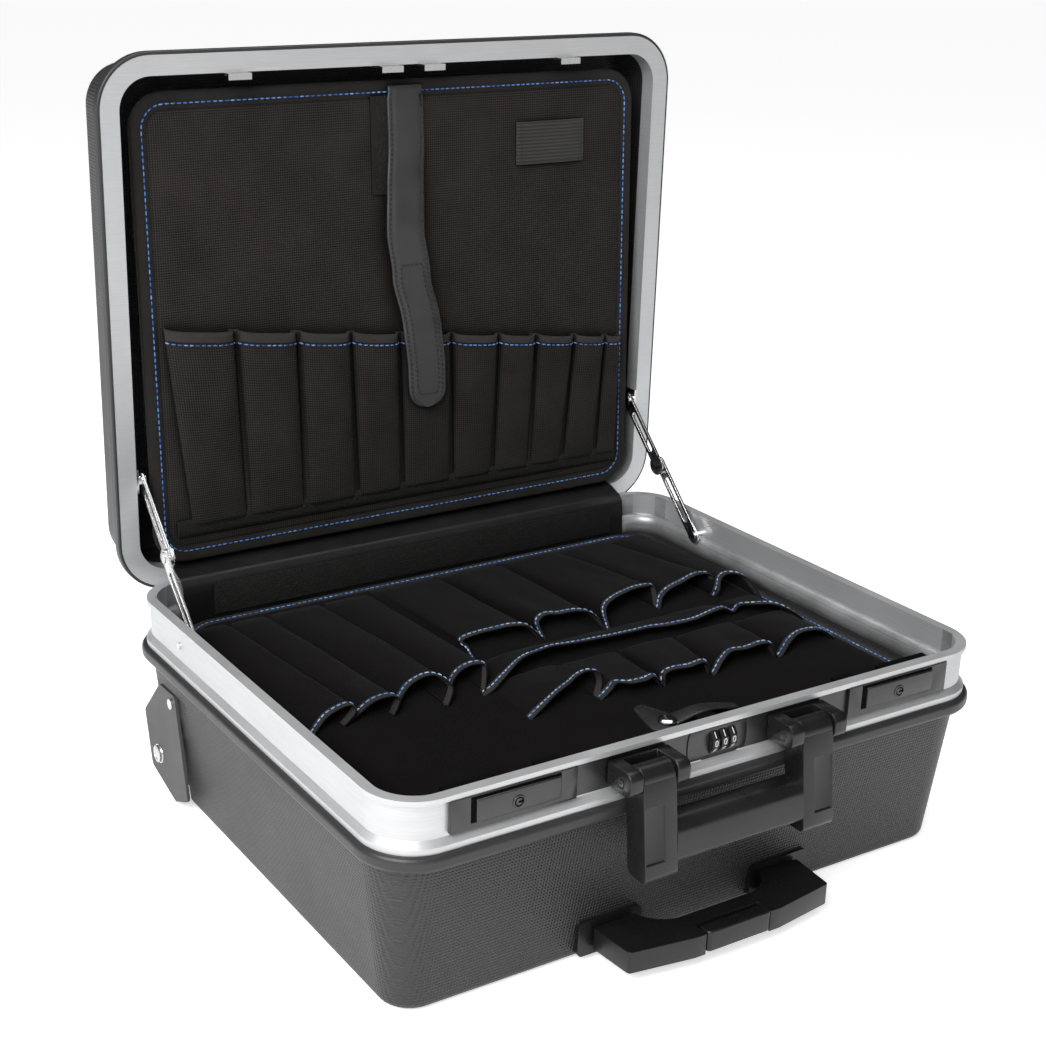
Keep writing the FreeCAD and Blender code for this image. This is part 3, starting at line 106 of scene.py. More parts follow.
# Pocket rows on the tray's board: their seam, and the line of their mouths as (x, y, height, x at the seam).
BASE_ROWS = {
    "left": (160, [
        (-208, -37, 1, -205), (-194.8, -29.2, 7, -198), (-183.1, -26.9, 10.5, -191), (-174, -26.4, 11, -185),
        (-172.7, -31.4, 7, -182), (-184.5, -36.4, 1, -180), (-168.2, -29.9, 6, -176),
        (-157.2, -29.4, 10.5, -166), (-145.1, -29.7, 11.5, -156), (-139.3, -31.8, 8, -151),
        (-147.7, -38.4, 1, -147.5), (-131, -21.5, 7, -143), (-119.5, -16.5, 12, -132), (-105.5, -15.7, 13, -117),
        (-99.3, -24.2, 12, -108), (-98.1, -32.8, 7, -104), (-109.7, -44.2, 1, -101.8), (-92, -21.6, 7, -96),
        (-81.1, -15.7, 12, -84), (-69.4, -15.2, 13, -71), (-62.7, -19.1, 10, -63), (-75.6, -38.4, 1, -59)]),
    "back": (164, [
        (-54.2, 4.3, 1, -57), (-49.6, 24, 4, -54), (-49.2, 34.3, 7, -49), (-34, 35.2, 9, -34),
        (-17.5, 33.8, 10, -19), (-5.5, 32.1, 10.5, -8), (2.9, 28.7, 10, -1), (8.2, 25.7, 6, 3),
        (12.5, 17.4, 1, 5), (16.8, 33.2, 7, 10), (25.2, 36.5, 10.5, 20), (35.8, 33.6, 11, 34),
        (48.3, 31.9, 11.5, 49), (57.2, 27.4, 10.5, 58), (62, 21, 7, 62), (63.3, 5.9, 1, 64.5),
        (73.8, 27.1, 8, 70), (87, 35, 11.5, 82), (107.1, 41.7, 12.5, 98), (126.2, 43.9, 13, 110),
        (131.2, 40, 10, 115), (121.6, 21.7, 1, 117), (129, 28.2, 8, 122), (140.3, 31.7, 12, 133),
        (162.8, 37.8, 13, 150), (179.3, 38.4, 13, 162), (184.4, 34.4, 10, 166), (176.3, 21.2, 1, 168),
        (178.6, 19.7, 7, 172), (187, 28.1, 11.5, 180), (196, 31, 13, 190), (204, 25.6, 13, 199),
        (207.5, 17.9, 10, 205), (206, -0.4, 1, 208)]),
    "middle": (8, [
        (-79.3, -41.7, 1, -62), (-69.6, -39.2, 3, -56), (-58.9, -34, 6, -48), (-42.5, -24.1, 9, -36),
        (-27, -17.2, 10.5, -22), (-10.2, -14, 11, -8), (7, -14.3, 10.5, 7), (29.2, -14.2, 10, 29),
        (50.6, -15.6, 9.5, 50), (73.5, -15.5, 9, 73), (94.3, -18.7, 9, 94), (115.2, -22, 9.5, 115),
        (136.5, -19.1, 10.5, 136), (152.9, -15.8, 10, 152), (164.2, -14.7, 4, 162), (171.4, -13.8, 8, 170),
        (178.8, -21.2, 10, 179), (192.3, -28.7, 10, 192), (199, -38.3, 8, 200), (207, -45.4, 1, 206)]),
    "front": (-24, [
        (-71.7, -88.1, 1, -66), (-56.7, -82.3, 6, -52), (-41.2, -75.1, 9, -40), (-27.1, -69.1, 10, -29),
        (-15.5, -63.2, 11, -23), (-5.3, -62, 12, -19), (0.7, -66.7, 11, -18), (-0.8, -71.7, 5, -17),
        (-13.5, -85.9, 1, -17), (-1.1, -82.6, 5, -12), (4.6, -81.4, 8.5, -4), (11.9, -87.7, 9, 10),
        (21.5, -89.7, 9.5, 25), (33.5, -86.5, 8.5, 39), (39.2, -90.1, 1, 45.5), (43, -85.6, 7.5, 50),
        (51.9, -85.4, 10, 62), (62.9, -87.1, 10.5, 76), (78.5, -85.6, 9.5, 92), (80.7, -92.7, 1, 97),
        (92.8, -87.3, 7, 104), (104.4, -82.9, 10.5, 116), (116.5, -85, 11, 129), (131.8, -83.5, 11, 143),
        (139.4, -85.9, 9.5, 149), (142.4, -92.1, 1, 152), (157.5, -86, 8, 162), (169.1, -82.4, 10.5, 174),
        (181.7, -82.4, 11, 187), (192.6, -82.7, 8, 198), (201.8, -86.5, 1, 206)]),
}


def size_of(name, text, default, low, high):
    return FloatProperty(name=name, description=text, default=default, min=low, max=high, unit="LENGTH")


def colour_of_part(name, text, *default):
    return FloatVectorProperty(name=name, description=text, default=default, size=3, min=0, max=1,
                               subtype="COLOR")


def light_of(name, text, default, high, unit="NONE"):
    return FloatProperty(name=name, description=text, default=default, min=0, max=high, unit=unit)


class CaseSizes(bpy.types.PropertyGroup):
    """Sizes of the sewn and moulded details."""

    stitch_length: size_of("Stitch length", "Length of one stitch of the blue thread", 0.0038, 0.001, 0.01)
    stitch_gap: size_of("Stitch gap", "Cloth showing between two stitches", 0.0008, 0.0003, 0.005)
    thread_width: size_of("Thread width", "Width of the sewing thread", 0.0012, 0.0003, 0.002)
    binding_width: size_of("Binding width", "Width of the tape round the boards", 0.0115, 0.004, 0.02)
    pocket_binding: size_of("Pocket binding", "Width of the tape on the tray's pockets", 0.0062, 0.003, 0.012)
    cloth_thickness: size_of("Cloth thickness", "Thickness of the pocket cloth", 0.0009, 0.0003, 0.002)
    edge_round: size_of("Edge rounding", "Rounding of the moulded fittings' edges", 0.0008, 0.0002, 0.003)


class CaseColours(bpy.types.PropertyGroup):
    """Colours of the finishes."""

    aluminium: colour_of_part("Aluminium", "Colour of the satin aluminium frames", 0.80, 0.81, 0.82)
    shell: colour_of_part("Shells", "Colour of the ribbed plastic shells", 0.027, 0.027, 0.0285)
    fittings: colour_of_part("Fittings", "Colour of the locks and handles", 0.0072, 0.0072, 0.0074)
    lid_cloth: colour_of_part("Lid cloth", "Colour of the cloth in the lid", 0.034, 0.0305, 0.028)
    tray_cloth: colour_of_part("Tray cloth", "Colour of the cloth in the tray", 0.0075, 0.0058, 0.006)
    binding: colour_of_part("Binding", "Colour of the tape round cloth edges", 0.05, 0.047, 0.044)
    thread: colour_of_part("Thread", "Colour of the sewing thread", 0.014, 0.064, 0.27)
    leather: colour_of_part("Leather", "Colour of the strap and the press-stud tab", 0.019, 0.019, 0.020)


class CaseStage(bpy.types.PropertyGroup):
    """Light and background."""

    fill: light_of("Fill light", "Strength of the even light from all sides", 0.42, 2)
    key: light_of("Key light", "Power of the large soft light on the left", 35, 200, "POWER")
    glow: light_of("Floor glow", "Light that comes up through the white floor", 0.6, 2)
    top: light_of("Top light", "Power of the large soft light overhead", 13, 200, "POWER")
    floor: colour_of_part("Floor", "Colour of the floor", 0.97, 0.97, 0.97)


def size(name):
    """A size of the panel in millimetres."""
    return getattr(bpy.context.scene.tool_case_sizes, name) / MILLIMETRE


def colours():
    return bpy.context.scene.tool_case_colours


# Shader parts.

def node(tree, kind, inputs=None, **settings):
    """Adds a shader node, with its settings and its inputs as values or as links."""
    made = tree.nodes.new(kind)
    for key, value in settings.items():
        setattr(made, key, value)
    for key, value in (inputs or {}).items():
        if isinstance(value, bpy.types.NodeSocket):
            tree.links.new(value, made.inputs[key])
        else:
            made.inputs[key].default_value = value
    return made


def maths(tree, operation, first, second=0.0, third=0.0):
    return node(tree, "ShaderNodeMath", {0: first, 1: second, 2: third}, operation=operation).outputs[0]


def place_on_object(tree):
    return node(tree, "ShaderNodeTexCoord").outputs["Object"]


def place_on_cloth(tree):
    return node(tree, "ShaderNodeUVMap", uv_map="flat_cloth").outputs["UV"]


def ripple(tree, place, direction, pitch):
    """Even waves from 0 to 1 along a direction, with a pitch in metres."""
    step = Vector(direction) * (2 * pi / pitch)
    reach = node(tree, "ShaderNodeVectorMath", {0: place, 1: step}, operation="DOT_PRODUCT").outputs["Value"]
    return maths(tree, "MULTIPLY_ADD", maths(tree, "SINE", reach), 0.5, 0.5)


def speckle(tree, place, scale, detail=2.0, rough=0.5, stretch=(1, 1, 1)):
    """Cloudy variation from 0 to 1; the scale counts clouds in a metre."""
    if tuple(stretch) != (1, 1, 1):
        place = node(tree, "ShaderNodeMapping", {"Vector": place, "Scale": stretch}).outputs[0]
    return node(tree, "ShaderNodeTexNoise",
                {"Vector": place, "Scale": scale, "Detail": detail, "Roughness": rough}).outputs["Fac"]


def spread(tree, value, low, high, start=0.0, end=1.0):
    return node(tree, "ShaderNodeMapRange", {"Value": value, "From Min": start, "From Max": end,
                                             "To Min": low, "To Max": high}).outputs["Result"]


def blend_colours(tree, share, first, second):
    return node(tree, "ShaderNodeMix", {0: share, 6: (*first, 1), 7: (*second, 1)},
                data_type="RGBA").outputs[2]


def relief(tree, height, strength, distance):
    return node(tree, "ShaderNodeBump", {"Height": height, "Strength": strength,
                                         "Distance": distance}).outputs[0]


def shaded(colour, share):
    return tuple(min(1.0, part * share) for part in colour)


def tones(colour, dark, light):
    """The dark and the light tone of a colour."""
    return shaded(colour, dark), shaded(colour, light)


def cells(tree, place, scale):
    """Distance from the middles of small cells; the scale counts cells in a metre."""
    return node(tree, "ShaderNodeTexVoronoi", {"Vector": place, "Scale": scale},
                feature="F1").outputs["Distance"]


# Finishes. Each gives the inputs of its Principled shader, as links or as values.

def clouded(tree, cloud, pair=None, roughness=None, grain=None, strength=0.2, depth=0.0002):
    """Colour and roughness that follow one cloud of speckle, with a fine relief over them."""
    place = place_on_object(tree)
    share = speckle(tree, place, *cloud)
    inputs = {}
    if pair:
        inputs["Base Color"] = blend_colours(tree, share, *pair)
    if roughness:
        inputs["Roughness"] = spread(tree, share, *roughness, 0.3, 0.7)
    if grain:
        texture, *details = grain
        inputs["Normal"] = relief(tree, texture(tree, place, *details), strength, depth)
    return inputs


def satin_aluminium(tree):
    """Brushed metal with a painted dark, cloudy reflection inside the rim, where the frames face the cloth."""
    place = place_on_object(tree)
    lines = speckle(tree, place, 5, 3, 0.6, (6, 6, 260))
    # Painted reflection: inside the rim the colour is darkened in clouds, standing in for the dark lid and cloth
    # that the inner walls reflect.
    reflection_cloud = spread(tree, speckle(tree, place, 22, 4, 0.6, (1, 1, 2.6)), 0, 1, 0.36, 0.66)
    parts = node(tree, "ShaderNodeSeparateXYZ", {0: place}).outputs
    across, deep = (maths(tree, "ABSOLUTE", parts[axis]) for axis in ("X", "Y"))
    inner = 1.0
    for reach, limit in ((across, 0.2325), (deep, 0.1865), (maths(tree, "ADD", across, deep), 0.4005)):
        inner = maths(tree, "MULTIPLY", inner, maths(tree, "LESS_THAN", reach, limit))
    painted_dark_reflection = maths(tree, "MULTIPLY", inner, maths(tree, "SUBTRACT", 1.0, maths(tree, "MULTIPLY", reflection_cloud, 0.75)))
    share = maths(tree, "SUBTRACT", maths(tree, "MULTIPLY_ADD", lines, 0.4, 0.6),
                  maths(tree, "MULTIPLY", painted_dark_reflection, 0.55))
    return {"Metallic": 0.6, "Base Color": blend_colours(tree, share, *tones(colours().aluminium, 0.28, 0.88)),
            "Roughness": spread(tree, speckle(tree, place, 14, 3, 0.55), 0.28, 0.46, 0.3, 0.7),
            "Normal": relief(tree, lines, 0.14, 0.0003)}


def ribbed_plastic(tree, axis, start, end):
    """Moulded shell with fine pyramids; the ribs fade out between start and end along an axis."""
    place = place_on_object(tree)
    ribs = maths(tree, "MULTIPLY", *(ripple(tree, place, way, 0.0023) for way in (UP, ACROSS + BACK)))
    shown = spread(tree, node(tree, "ShaderNodeSeparateXYZ", {0: place}).outputs[axis], 1.0, 0.0, start, end)
    grain = maths(tree, "MULTIPLY", speckle(tree, place, 1500, 2), 0.16)
    height = maths(tree, "MULTIPLY_ADD", ribs, shown, grain)
    return clouded(tree, (9, 3, 0.6), tones(colours().shell, 0.86, 1.16), (0.3, 0.42)) | {
        "Normal": relief(tree, height, 0.9, 0.0007)}


def woven(tree, place_of, second, pitch, colour, sheen=0.05):
    """Plain weave with threads across and along a second way, with painted shade in its folds."""
    place = place_of(tree)
    weave = maths(tree, "MULTIPLY", *(ripple(tree, place, way, pitch) for way in (ACROSS, second)))
    fibre = speckle(tree, place, 1 / pitch, 3, 0.7)
    wear = speckle(tree, place, 24, 4, 0.62)
    share = maths(tree, "MULTIPLY_ADD", weave, 0.75, maths(tree, "MULTIPLY", wear, 0.4))
    # Painted shade: ambient occlusion darkens the colour in folds, valleys and under the pocket mouths.
    painted_fold_shade = node(tree, "ShaderNodeAmbientOcclusion", {"Distance": 0.016}, samples=6).outputs["AO"]
    share = maths(tree, "MULTIPLY", share, maths(tree, "POWER", painted_fold_shade, 2.2))
    return {"Base Color": blend_colours(tree, share, *tones(colour, 0.12, 2.3)),
            "Normal": relief(tree, maths(tree, "MULTIPLY_ADD", fibre, 0.5, weave), 0.8, 0.0004),
            "Roughness": 0.9, "Specular IOR Level": 2 * sheen, "Sheen Weight": sheen, "Sheen Roughness": 0.45}


def thread(tree, dark, light):
    share = spread(tree, speckle(tree, place_on_object(tree), 150, 2), 0, 1, 0.35, 0.68)
    return {"Base Color": blend_colours(tree, share, dark, light), "Roughness": 0.45, "Sheen Weight": 0.2}


def leather(tree, share, roughness, grain_scale, grain_depth):
    return clouded(tree, (45, 3, 0.6), tones(shaded(colours().leather, share), 0.7, 1.35), roughness,
                   (cells, grain_scale), grain_depth, 0.0003)


def hook_tape(tree):
    place = place_on_object(tree)
    hooks = cells(tree, place, 750.0)
    share = maths(tree, "MULTIPLY", hooks, speckle(tree, place, 160, 4, 0.7))
    return {"Base Color": blend_colours(tree, share, (0.0015, 0.0015, 0.0015), (0.026, 0.024, 0.022)),
            "Normal": relief(tree, hooks, 0.9, 0.0006), "Roughness": 0.85, "Specular IOR Level": 0.3}


def ribbed_elastic(tree):
    place = place_on_cloth(tree)
    ribs = ripple(tree, place, BACK, 0.0027)
    height = maths(tree, "MULTIPLY_ADD", ripple(tree, place, ACROSS, 0.0009), 0.25, ribs)
    return {"Base Color": blend_colours(tree, ribs, (0.008, 0.0075, 0.007), (0.034, 0.032, 0.030)),
            "Normal": relief(tree, height, 0.8, 0.0006), "Roughness": 0.75, "Sheen Weight": 0.1}


def floor_finish(tree):
    """A white floor that glows for the camera, and half as much in reflections."""
    stage = bpy.context.scene.tool_case_stage
    rays = node(tree, "ShaderNodeLightPath").outputs
    seen = maths(tree, "ADD", rays["Is Camera Ray"], maths(tree, "MULTIPLY", rays["Is Glossy Ray"], 0.5))
    return clouded(tree, (2, 2), (shaded(stage.floor, 0.995), stage.floor)) | {
        "Roughness": 0.9, "Specular IOR Level": 0.0, "Emission Color": (1, 1, 1, 1),
        "Emission Strength": maths(tree, "MULTIPLY", seen, stage.glow)}


FINISHES = {
    "satin_aluminium": satin_aluminium,
    "polished_steel": lambda tree: clouded(
        tree, (90, 3, 0.6), ((0.6, 0.6, 0.6), (0.78, 0.78, 0.78)), (0.12, 0.34)) | {"Metallic": 1.0},
    "chromed": lambda tree: clouded(tree, (60, 2, 0.5), None, (0.06, 0.16)) | {
        "Metallic": 1.0, "Base Color": (0.5, 0.5, 0.52, 1)},
    "tray_plastic": lambda tree: ribbed_plastic(tree, "Z", 0.1045, 0.1055),
    "lid_plastic": lambda tree: ribbed_plastic(tree, "Y", 0.2145, 0.2135),
    "moulded_black": lambda tree: clouded(
        tree, (38, 4, 0.6), tones(colours().fittings, 0.8, 1.3), (0.24, 0.38), (speckle, 1700, 2, 0.6)),
    "matte_black": lambda tree: clouded(
        tree, (60, 3, 0.6), ((0.0012, 0.0012, 0.0012), (0.003, 0.003, 0.003)), None, (speckle, 1500, 2)) | {
        "Roughness": 0.8, "Specular IOR Level": 0.06},
    "satin_black": lambda tree: clouded(
        tree, (55, 3, 0.6), tones(shaded(colours().fittings, 1.15), 0.85, 1.2), (0.24, 0.4),
        (speckle, 30, 3, 0.6, (3, 3, 60)), 0.08) | {"Specular IOR Level": 0.85},
    "painted_steel": lambda tree: clouded(
        tree, (26, 3, 0.6), ((0.05, 0.05, 0.051), (0.078, 0.078, 0.078)), (0.42, 0.56),
        (speckle, 1300, 3, 0.6), 0.18),
    "tyre_rubber": lambda tree: clouded(
        tree, (120, 4, 0.65), ((0.014, 0.014, 0.014), (0.04, 0.039, 0.037)), (0.6, 0.85),
        (speckle, 900, 2), 0.25, 0.0003),
    "lid_board_weave": lambda tree: woven(
        tree, place_on_object, UP, 0.0018, shaded(colours().lid_cloth, 0.72), 0.04),
    "lid_pocket_weave": lambda tree: woven(
        tree, place_on_cloth, BACK, 0.0018, shaded(colours().lid_cloth, 0.72), 0.04),
    "tray_board_weave": lambda tree: woven(
        tree, place_on_object, BACK, 0.0015, shaded(colours().tray_cloth, 0.42), 0.02),
    "tray_pocket_weave": lambda tree: woven(
        tree, place_on_cloth, BACK, 0.0015, shaded(colours().tray_cloth, 0.5), 0.03),
    "binding_tape": lambda tree: woven(tree, place_on_object, UP + BACK, 0.0007, colours().binding),
    "dark_binding": lambda tree: woven(
        tree, place_on_object, UP + BACK, 0.0007, shaded(colours().binding, 0.55)),
    "blue_thread": lambda tree: thread(tree, colours().thread, (0.15, 0.36, 0.78)),
    "pale_thread": lambda tree: thread(tree, (0.04, 0.15, 0.42), (0.4, 0.56, 0.8)),
    "black_thread": lambda tree: thread(tree, (0.001, 0.001, 0.001), (0.004, 0.004, 0.004)),
    "strap_leather": lambda tree: leather(tree, 1.7, (0.36, 0.5), 900.0, 0.25),
    "tab_leather": lambda tree: leather(tree, 0.75, (0.28, 0.42), 900.0, 0.2),
    "cover_leather": lambda tree: leather(tree, 0.3, (0.34, 0.46), 1300.0, 0.15) | {"Specular IOR Level": 0.4},
    "hook_tape": hook_tape,
    "ribbed_elastic": ribbed_elastic,
    "dial_gloss": lambda tree: clouded(tree, (300, 2), None, (0.2, 0.36)) | {
        "Base Color": (0.012, 0.012, 0.012, 1)},
    "number_paint": lambda tree: clouded(tree, (500, 2), ((0.72, 0.72, 0.7), (0.9, 0.9, 0.88))),
    "floor_finish": floor_finish,
}


def finish(name):
    """The material of this name, made at its first use."""
    found = bpy.data.materials.get(name)
    if found:
        return found
    made = bpy.data.materials.new(name)
    made.use_nodes = True
    tree = made.node_tree
    tree.nodes.clear()
    shader = node(tree, "ShaderNodeBsdfPrincipled", FINISHES[name](tree))
    node(tree, "ShaderNodeOutputMaterial", {0: shader.outputs[0]})
    return made


# Shape parts.

def finished(name, body, bm, finishes, place=None, replaced=None, slot=None, sharp=35.0):
    """Makes the shape a piece in metres that rides on a body, and may stand for a node of the frame."""
    if place is not None:
        bmesh.ops.transform(bm, matrix=place, verts=bm.verts)
    bmesh.ops.scale(bm, vec=(MILLIMETRE,) * 3, verts=bm.verts)
    mesh = bpy.data.meshes.new(name)
    bm.to_mesh(mesh)
    bm.free()
    for key in finishes:
        mesh.materials.append(finish(key))
    mesh.shade_smooth()
    mesh.set_sharp_from_angle(angle=radians(sharp))
    piece = bpy.data.objects.new(name, mesh)
    bpy.context.scene.collection.objects.link(piece)
    if body:
        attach(piece, body)
    if replaced:
        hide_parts(replaced)
    return piece


def thicken(piece, thickness, offset=-1.0):
    """Gives a sheet its thickness."""
    wall = piece.modifiers.new("Thickness", "SOLIDIFY")
    wall.thickness = thickness * MILLIMETRE
    wall.offset = offset


def block(low, high):
    low, high = Vector(low), Vector(high)
    place = Matrix.Translation((low + high) / 2) @ Matrix.Diagonal((*(high - low), 1))
    bm = bmesh.new()
    bmesh.ops.create_cube(bm, size=1, matrix=place)
    return bm


def face_outwards(bm):
    bmesh.ops.recalc_face_normals(bm, faces=bm.faces)


def grow(bm, faces, way, keep=False):
    """Draws faces out along a way, to a closed shape."""
    grown = bmesh.ops.extrude_face_region(bm, geom=faces, use_keep_orig=keep)["geom"]
    bmesh.ops.translate(bm, vec=way, verts=[item for item in grown if isinstance(item, bmesh.types.BMVert)])
    face_outwards(bm)


def is_sharp(edge):
    return edge.is_manifold and edge.calc_face_angle(0) > radians(30)


def bevel(bm, edges, width, segments):
    bmesh.ops.bevel(bm, geom=edges, offset=width, offset_type="OFFSET", affect="EDGES", segments=segments,
                    profile=0.5, material=-1, clamp_overlap=True)


def soften(bm, width, segments=2, chosen=is_sharp):
    """Rounds the sharp edges, or the chosen ones."""
    bm.normal_update()
    bevel(bm, [edge for edge in bm.edges if chosen(edge)], width, segments)


def runs_along(axis, test=None):
    """Chooses the edges along an axis, if their middle passes the test."""
    def chosen(edge):
        run = (edge.verts[1].co - edge.verts[0].co).normalized()
        middle = (edge.verts[1].co + edge.verts[0].co) / 2
        return abs(run.dot(axis)) > 0.999 and (test is None or test(middle))
    return chosen


def flat_plate(outline, thickness, holes=()):
    """A plate with its face at zero that reaches down by its thickness, with holes through it."""
    bm = bmesh.new()
    edges = []
    for loop in (outline, *holes):
        corners = [bm.verts.new((x, y, 0)) for x, y in loop]
        edges += [bm.edges.new(pair) for pair in zip(corners, corners[1:] + corners[:1])]
    made = bmesh.ops.triangle_fill(bm, edges=edges, use_beauty=True, use_dissolve=not holes)
    faces = [item for item in made["geom"] if isinstance(item, bmesh.types.BMFace)]
    grow(bm, faces, (0, 0, -thickness), keep=True)
    return bm


def turned(profile, axis, centre, steps, bm=None):
    """Turns a line of (along, radius) points round an axis; radius zero closes a pole."""
    bm = bmesh.new() if bm is None else bm
    axis, centre = Vector(axis), Vector(centre)
    side = axis.orthogonal().normalized()
    points = [bm.verts.new(centre + axis * along + side * radius) for along, radius in profile]
    lines = [bm.edges.new(pair) for pair in zip(points, points[1:])]
    before = set(bm.verts) - set(points)
    bmesh.ops.spin(bm, geom=points + lines, cent=centre, axis=axis, angle=2 * pi, steps=steps, use_merge=True)
    fresh = [vert for vert in bm.verts if vert not in before]
    bmesh.ops.remove_doubles(bm, verts=fresh, dist=0.001)
    face_outwards(bm)
    return bm


def cloth(bm, surface, across, along, depth, turned_over=False):
    """A sheet that follows surface(u, v), with a map of its cloth: measured across the folds, and its depth."""
    made = bmesh.ops.create_grid(bm, x_segments=across, y_segments=along, size=0.5)["verts"]
    line = [surface(step / across, 0.6) for step in range(across + 1)]
    reach = [0.0]
    for first, second in zip(line, line[1:]):
        reach.append(reach[-1] + (second - first).length)
    layer = bm.loops.layers.uv.get("flat_cloth") or bm.loops.layers.uv.new("flat_cloth")
    for vert in made:
        share = (vert.co.x + 0.5, vert.co.y + 0.5)
        for loop in vert.link_loops:
            loop[layer].uv = (reach[round(share[0] * across)] * MILLIMETRE, share[1] * depth * MILLIMETRE)
        vert.co = surface(*share)
    if turned_over:
        bmesh.ops.reverse_faces(bm, faces=bm.faces)


def laid(name, body, key, surface, counts, depth, thickness, place, turned_over=False, **details):
    """A sheet as a piece; counts are its faces across and along."""
    bm = bmesh.new()
    cloth(bm, surface, *counts, depth, turned_over)
    piece = finished(name, body, bm, [key], place, **details)
    thicken(piece, thickness)
    return piece


def facing(surface, u, v, outwards):
    """The way a sheet faces at a point."""
    step = 0.0008
    run = surface(min(1.0, u + step), v) - surface(max(0.0, u - step), v)
    rise = surface(u, min(1.0, v + step)) - surface(u, max(0.0, v - step))
    return run.cross(rise).normalized() * outwards


def along_surface(surface, outwards, places):
    """Points with their facing, at (u, v) places of a sheet."""
    return [(surface(u, v), facing(surface, u, v, outwards)) for u, v in places]


def sew(bm, line, length, pitch, width, lift):
    """Stitches along a line of (point, facing) pairs, each a small rounded thread."""
    travelled, due = 0.0, pitch / 2
    for (start, normal), (end, _) in zip(line, line[1:]):
        run = end - start
        reach = run.length
        while reach > 0 and due <= travelled + reach:
            point = start.lerp(end, (due - travelled) / reach) + normal * lift
            way = run.normalized()
            turn = Matrix((way, normal.cross(way).normalized(), normal)).transposed().to_4x4()
            shape = Matrix.Diagonal((length / 2, width / 2, width / 2.2, 1))
            bmesh.ops.create_uvsphere(bm, u_segments=6, v_segments=4, radius=1,
                                      matrix=Matrix.Translation(point) @ turn @ shape)
            due += pitch
        travelled += reach


def sewn(name, body, key, lines, place, lift=0.0, stitch=None):
    """A piece of stitches along lines; a stitch is its length, pitch and width, or else the panel's."""
    if stitch is None:
        length = size("stitch_length")
        stitch = length, length + size("stitch_gap"), size("thread_width")
    bm = bmesh.new()
    for line in lines:
        sew(bm, line, *stitch, lift)
    finished(name, body, bm, [key], place)


def rounded_line(left, right, low, high, corner, steps=8, closed=True):
    """Points round a rectangle with round corners, anticlockwise from the lower right."""
    points = []
    for centre_x, centre_y, start in ((right - corner, low + corner, -90), (right - corner, high - corner, 0),
                                      (left + corner, high - corner, 90), (left + corner, low + corner, 180)):
        for step in range(steps + 1):
            angle = radians(start + 90 * step / steps)
            points.append((centre_x + corner * cos(angle), centre_y + corner * sin(angle)))
    return points + points[:1] if closed else points


def rectangle(left, right, low, high):
    return [(left, low), (right, low), (right, high), (left, high)]


def on_face(points, height):
    """Points of a flat frame with the facing of its board."""
    return [(Vector((x, y, height)), UP) for x, y in points]


def mix(first, second, share):
    return first + (second - first) * share


def smooth_step(value, start, end):
    """From 0 at the start to 1 at the end, level at both."""
    share = min(1.0, max(0.0, (value - start) / (end - start)))
    return share * share * (3 - 2 * share)


def between(points, at):
    """Smooth value at a place on a line of (place, value) pairs."""
    for (start, first), (end, second) in zip(points, points[1:]):
        if at <= end or end == points[-1][0]:
            return mix(first, second, smooth_step(at, start, end))


def refined(node_name, width, key, segments=2):
    """A copy of a frame node with its sharp edges rounded, which stands for the node."""
    source = NODES[node_name]
    bm = bmesh.new()
    bm.from_mesh(source.data)
    bmesh.ops.scale(bm, vec=(1 / MILLIMETRE,) * 3, verts=bm.verts)
    bmesh.ops.remove_doubles(bm, verts=bm.verts, dist=0.004)
    bmesh.ops.dissolve_limit(bm, angle_limit=radians(0.5), verts=bm.verts, edges=bm.edges,
                             use_dissolve_boundaries=False)
    soften(bm, width, segments)
    finished(node_name + "_shaped", source["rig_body"], bm, [key], replaced=node_name)


def dress(key, *node_names):
    """Gives frame nodes their finish."""
    for name in node_names:
        mesh = NODES[name].data
        mesh.materials.clear()
        mesh.materials.append(finish(key))


def paint(bm, index):
    """Gives every face the finish at an index of the piece's list."""
    for face in bm.faces:
        face.material_index = index


def bound_board(name, body, weave, outline, corner, thickness, binding, inset, inner_corner, place):
    """A foam board with a bound edge, a raised cloth panel and a rounded rim, and the seam along its binding."""
    left, right, low, high = outline
    bm = block((left, low, -thickness), (right, high, 0))
    soften(bm, corner, 9, runs_along(UP))
    bm.normal_update()
    face = max((item for item in bm.faces if item.normal.z > 0.9), key=lambda item: item.calc_area())
    rim = [edge for edge in bm.edges if is_sharp(edge)]
    paint(bm, 1)
    bmesh.ops.inset_region(bm, faces=[face], thickness=binding, depth=0, use_even_offset=True)
    # Steps of width and height: the groove at the binding, then the crown of the panel.
    for width, depth in ((0.9, -0.5), (0.8, 0.7), (2.2, 0.8), (9.0, 0.35)):
        bmesh.ops.inset_region(bm, faces=[face], thickness=width, depth=depth, use_even_offset=True)
        face.material_index = 0
    bevel(bm, [edge for edge in rim if edge.is_valid], 1.9, 4)
    face_outwards(bm)
    board = finished(name + "_pad", body, bm, [weave, "dark_binding"], place, name)
    edge = rounded_line(left + inset, right - inset, low + inset, high - inset, inner_corner)
    sewn(name + "_stitches", body, "blue_thread", [on_face(edge, 0.2)], place)
    return board


